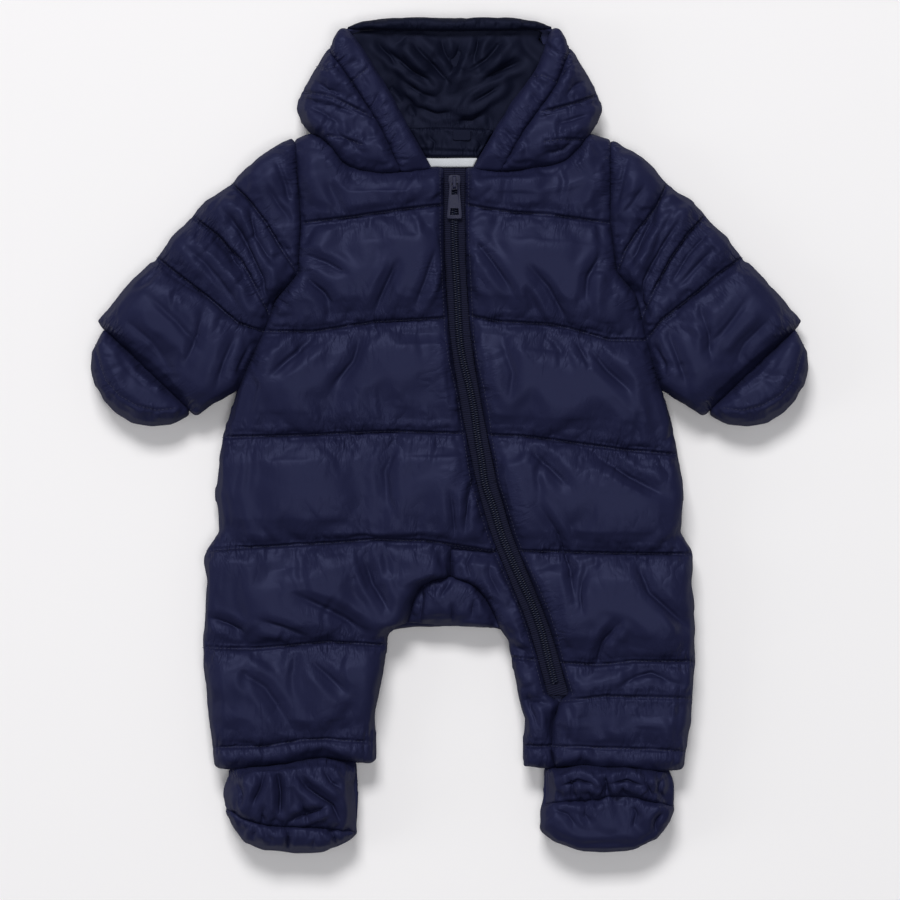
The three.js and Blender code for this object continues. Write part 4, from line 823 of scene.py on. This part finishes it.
# Zip: two woven tapes sewn under the fronts' folded edges, moulded teeth in two rows that mesh, and a patch
# that stops it on the left leg.
TAPE_DARK = (0.0026, 0.0030, 0.0105, 1)
TAPE_LIGHT = (0.0125, 0.0140, 0.0400, 1)
zip_weave, weave_shader, weave_place = new_material("zip_weave")
TAPE_RIB = 1.75 * MM
weave_run = weave_place.node("ShaderNodeAttribute", {"attribute_name": "seam"}, output=1)
weave_run = weave_run.node("ShaderNodeSeparateXYZ", None, {"Vector": weave_run}, 0)
ribs = weave_run.maths("PINGPONG", weave_run * (1 / TAPE_RIB), 0.5) * 2
tape_colour = blend_colours(ribs * 0.75 + noise(weave_place, 120) * 0.25, TAPE_DARK, TAPE_LIGHT)
feed(weave_shader, Base_Color=tape_colour, Roughness=0.82, Specular_IOR_Level=0.15,
     Normal=bump(ribs, 0.0006, 0.8))
for name, node, width, length in (
    ("right_zip_tape", "zip_tape_right", 0.014, 0.43),
    ("left_zip_tape", "zip_tape_left", 0.014, 0.43),
    ("stop_patch", "zip_stop_patch", 0.02, 0.012),
):
    tape = swelled(name, node, [], [(ZIP_MIDDLE, 0)], voxel=0.9, growth=0.01, cap=0.3, finer_levels=0)
    dress(tape, zip_weave, node)


def path_tree(name, sizes, unit_of):
    """A Geometry Nodes tree that sets one unit after another along a wire path. `sizes` name its inputs in
    metres, with Spacing first, and `unit_of` builds the unit from them."""
    tree = bpy.data.node_groups.new(name, "GeometryNodeTree")
    tree.interface.new_socket("Path", in_out="INPUT", socket_type="NodeSocketGeometry")
    tree.interface.new_socket("Material", in_out="INPUT", socket_type="NodeSocketMaterial")
    for size_name, size in sizes.items():
        entry = tree.interface.new_socket(size_name, in_out="INPUT", socket_type="NodeSocketFloat")
        entry.default_value = size
    tree.interface.new_socket("Result", in_out="OUTPUT", socket_type="NodeSocketGeometry")
    entries = tree.nodes.new("NodeGroupInput")
    given = {entry.name: Wire(tree, entry) for entry in entries.outputs if entry.name}
    path = given["Path"].node("GeometryNodeMeshToCurve", None, {"Mesh": given["Path"]})
    path = path.node("GeometryNodeResampleCurve", {"mode": "LENGTH"}, {
        "Curve": path, "Length": given["Spacing"]})
    turned = path.node("FunctionNodeAlignRotationToVector", {"axis": "Y", "pivot_axis": "Z"}, {
        "Vector": path.node("GeometryNodeInputTangent")})
    placed = path.node("GeometryNodeInstanceOnPoints", None, {
        "Points": path, "Instance": unit_of(given), "Rotation": turned})
    real = placed.node("GeometryNodeRealizeInstances", None, {"Geometry": placed})
    soft = real.node("GeometryNodeSetShadeSmooth", None, {"Geometry": real})
    done = soft.node("GeometryNodeSetMaterial", None, {"Geometry": soft, "Material": given["Material"]})
    tree.links.new(done.socket, tree.nodes.new("NodeGroupOutput").inputs["Result"])
    return tree


def scaled(unit, wide, long, tall, across=0.0, ahead=0.0):
    """A unit mesh at its size, moved sideways and along the path."""
    size = unit.node("ShaderNodeCombineXYZ", None, {"X": wide, "Y": long, "Z": tall})
    shift = unit.node("ShaderNodeCombineXYZ", None, {"X": across, "Y": ahead, "Z": 0.0})
    return unit.node("GeometryNodeTransform", None, {"Geometry": unit, "Translation": shift, "Scale": size})


def laid_along(name, rows, tree, material, node=None):
    """Runs a tree along rows of points and keeps the result as a plain mesh that rides on the suit."""
    wire = bpy.data.meshes.new(name)
    ends = np.cumsum([0] + [len(row) for row in rows])
    edges = [(i, i + 1) for first, last in zip(ends[:-1], ends[1:]) for i in range(first, last - 1)]
    wire.from_pydata([place for row in rows for place in row], edges, [])
    piece = link(name, wire)
    run = piece.modifiers.new("run", "NODES")
    run.node_group = tree
    for entry in tree.interface.items_tree:
        if entry.in_out == "INPUT" and entry.name == "Material":
            run[entry.identifier] = material
        elif entry.in_out == "INPUT" and entry.name != "Path":
            run[entry.identifier] = entry.default_value
    applied(piece)
    dress(piece, material, node)
    return piece


def tooth_pair(given):
    """Two blunt teeth side by side, half a pitch apart, that reach past the middle between each other."""
    cube = given["Spacing"].node("GeometryNodeMeshCube", None, {"Size": (1.0, 1.0, 1.0)})
    cube = cube.node("GeometryNodeSubdivisionSurface", None, {"Mesh": cube, "Level": 1, "Edge Crease": 0.62})
    aside = given["Width"] * 0.19
    near = given["Spacing"] * 0.25
    teeth = [
        scaled(cube, given["Width"] * 0.6, given["Spacing"] * 0.5, given["Height"], aside * side, near * side)
        for side in (1, -1)
    ]
    return cube.node("GeometryNodeJoinGeometry", None, {"Geometry": teeth})


def smoothed_line(corners, height, share_step=0.1):
    """A smooth 3-D line through corner points given in millimetres, at one height in metres."""
    ends = [corners[0]] + corners + [corners[-1]]
    line = []
    for before, start, end, after in zip(ends, ends[1:], ends[2:], ends[3:]):
        before, start, end, after = (np.array(corner, float) for corner in (before, start, end, after))
        for share in np.arange(0, 1, share_step):
            square = 2 * before - 5 * start + 4 * end - after
            cube = 3 * start - before - 3 * end + after
            spot = (start * 2 + (end - before) * share + square * share ** 2 + cube * share ** 3) / 2
            line.append(Vector((*(spot * MM), height)))
    return line


TOOTH_PITCH = 1.9 * MM
CHAIN_WIDTH = 7 * MM
chain_low, chain_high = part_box("zip_chain")
chain_path = smoothed_line(ZIP_MIDDLE, (chain_low.z + chain_high.z) / 2)
chain_path = [place for place in chain_path if chain_low.y < place.y < chain_high.y]
teeth_tree = path_tree("teeth", {
    "Spacing": TOOTH_PITCH, "Width": CHAIN_WIDTH, "Height": chain_high.z - chain_low.z}, tooth_pair)
TEETH_DARK = (0.010, 0.013, 0.030, 1)
TEETH_LIGHT = (0.020, 0.024, 0.050, 1)


def enamel(name, dark, light, gloss, metal):
    material, shader, place = new_material(name)
    wear = noise(place, 300, 3)
    feed(shader, Base_Color=blend_colours(wear, dark, light), Roughness=gloss + wear * 0.12, Metallic=metal,
         Specular_IOR_Level=0.25, Normal=bump(wear, 0.0001, 0.3))
    return material


tooth_resin = enamel("tooth_resin", TEETH_DARK, TEETH_LIGHT, 0.32, 0)
laid_along("zip_teeth", [chain_path], teeth_tree, tooth_resin, "zip_chain")

# Slider and pull tab: cast metal under navy enamel. The slider's bridge holds the tab's crossbar, and the tab
# flips over it.
METAL_DARK = (0.0105, 0.0118, 0.0350, 1)
METAL_LIGHT = (0.0150, 0.0165, 0.0480, 1)
metal_enamel = enamel("metal_enamel", METAL_DARK, METAL_LIGHT, 0.42, 0.05)
EDGE_ROUND = 0.3 * MM
for name, node, body in (("slider", "zip_slider", "suit"), ("tab", "zip_pull", "pull_tab")):
    piece = merged_copy(node, name)
    rounding = piece.modifiers.new("rounding", "BEVEL")
    rounding.width = EDGE_ROUND
    rounding.segments = 3
    rounding.limit_method = "ANGLE"
    rounding.angle_limit = math.radians(30)
    applied(piece)
    dress(piece, metal_enamel, node, body)

# Thread: navy polyester lockstitch in every quilting line, along both sides of the zip and in the mittens'
# binding. The machine sets it at an even pitch.
STITCH_PITCH = 3.2 * MM
STITCH_THICK = 0.55 * MM
THREAD_DARK = (0.012, 0.014, 0.040, 1)
THREAD_LIGHT = (0.024, 0.027, 0.066, 1)


def one_stitch(given):
    bead = given["Spacing"].node("GeometryNodeMeshUVSphere", None, {"Segments": 6, "Rings": 3, "Radius": 0.5})
    return scaled(bead, given["Thickness"], given["Spacing"] * 0.84, given["Thickness"])


thread_material, thread_shader, thread_place = new_material("thread")
twist = thread_place.node("ShaderNodeTexWave", None, {
    "Vector": thread_place, "Scale": 1400.0, "Distortion": 1.0})
feed(thread_shader, Roughness=0.6, Normal=bump(twist, 0.0001, 0.4), Base_Color=blend_colours(
    twist, THREAD_DARK, THREAD_LIGHT))
stitch_tree = path_tree("lockstitch", {"Spacing": STITCH_PITCH, "Thickness": STITCH_THICK}, one_stitch)
laid_along("thread_rows", stitched_rows, stitch_tree, thread_material)
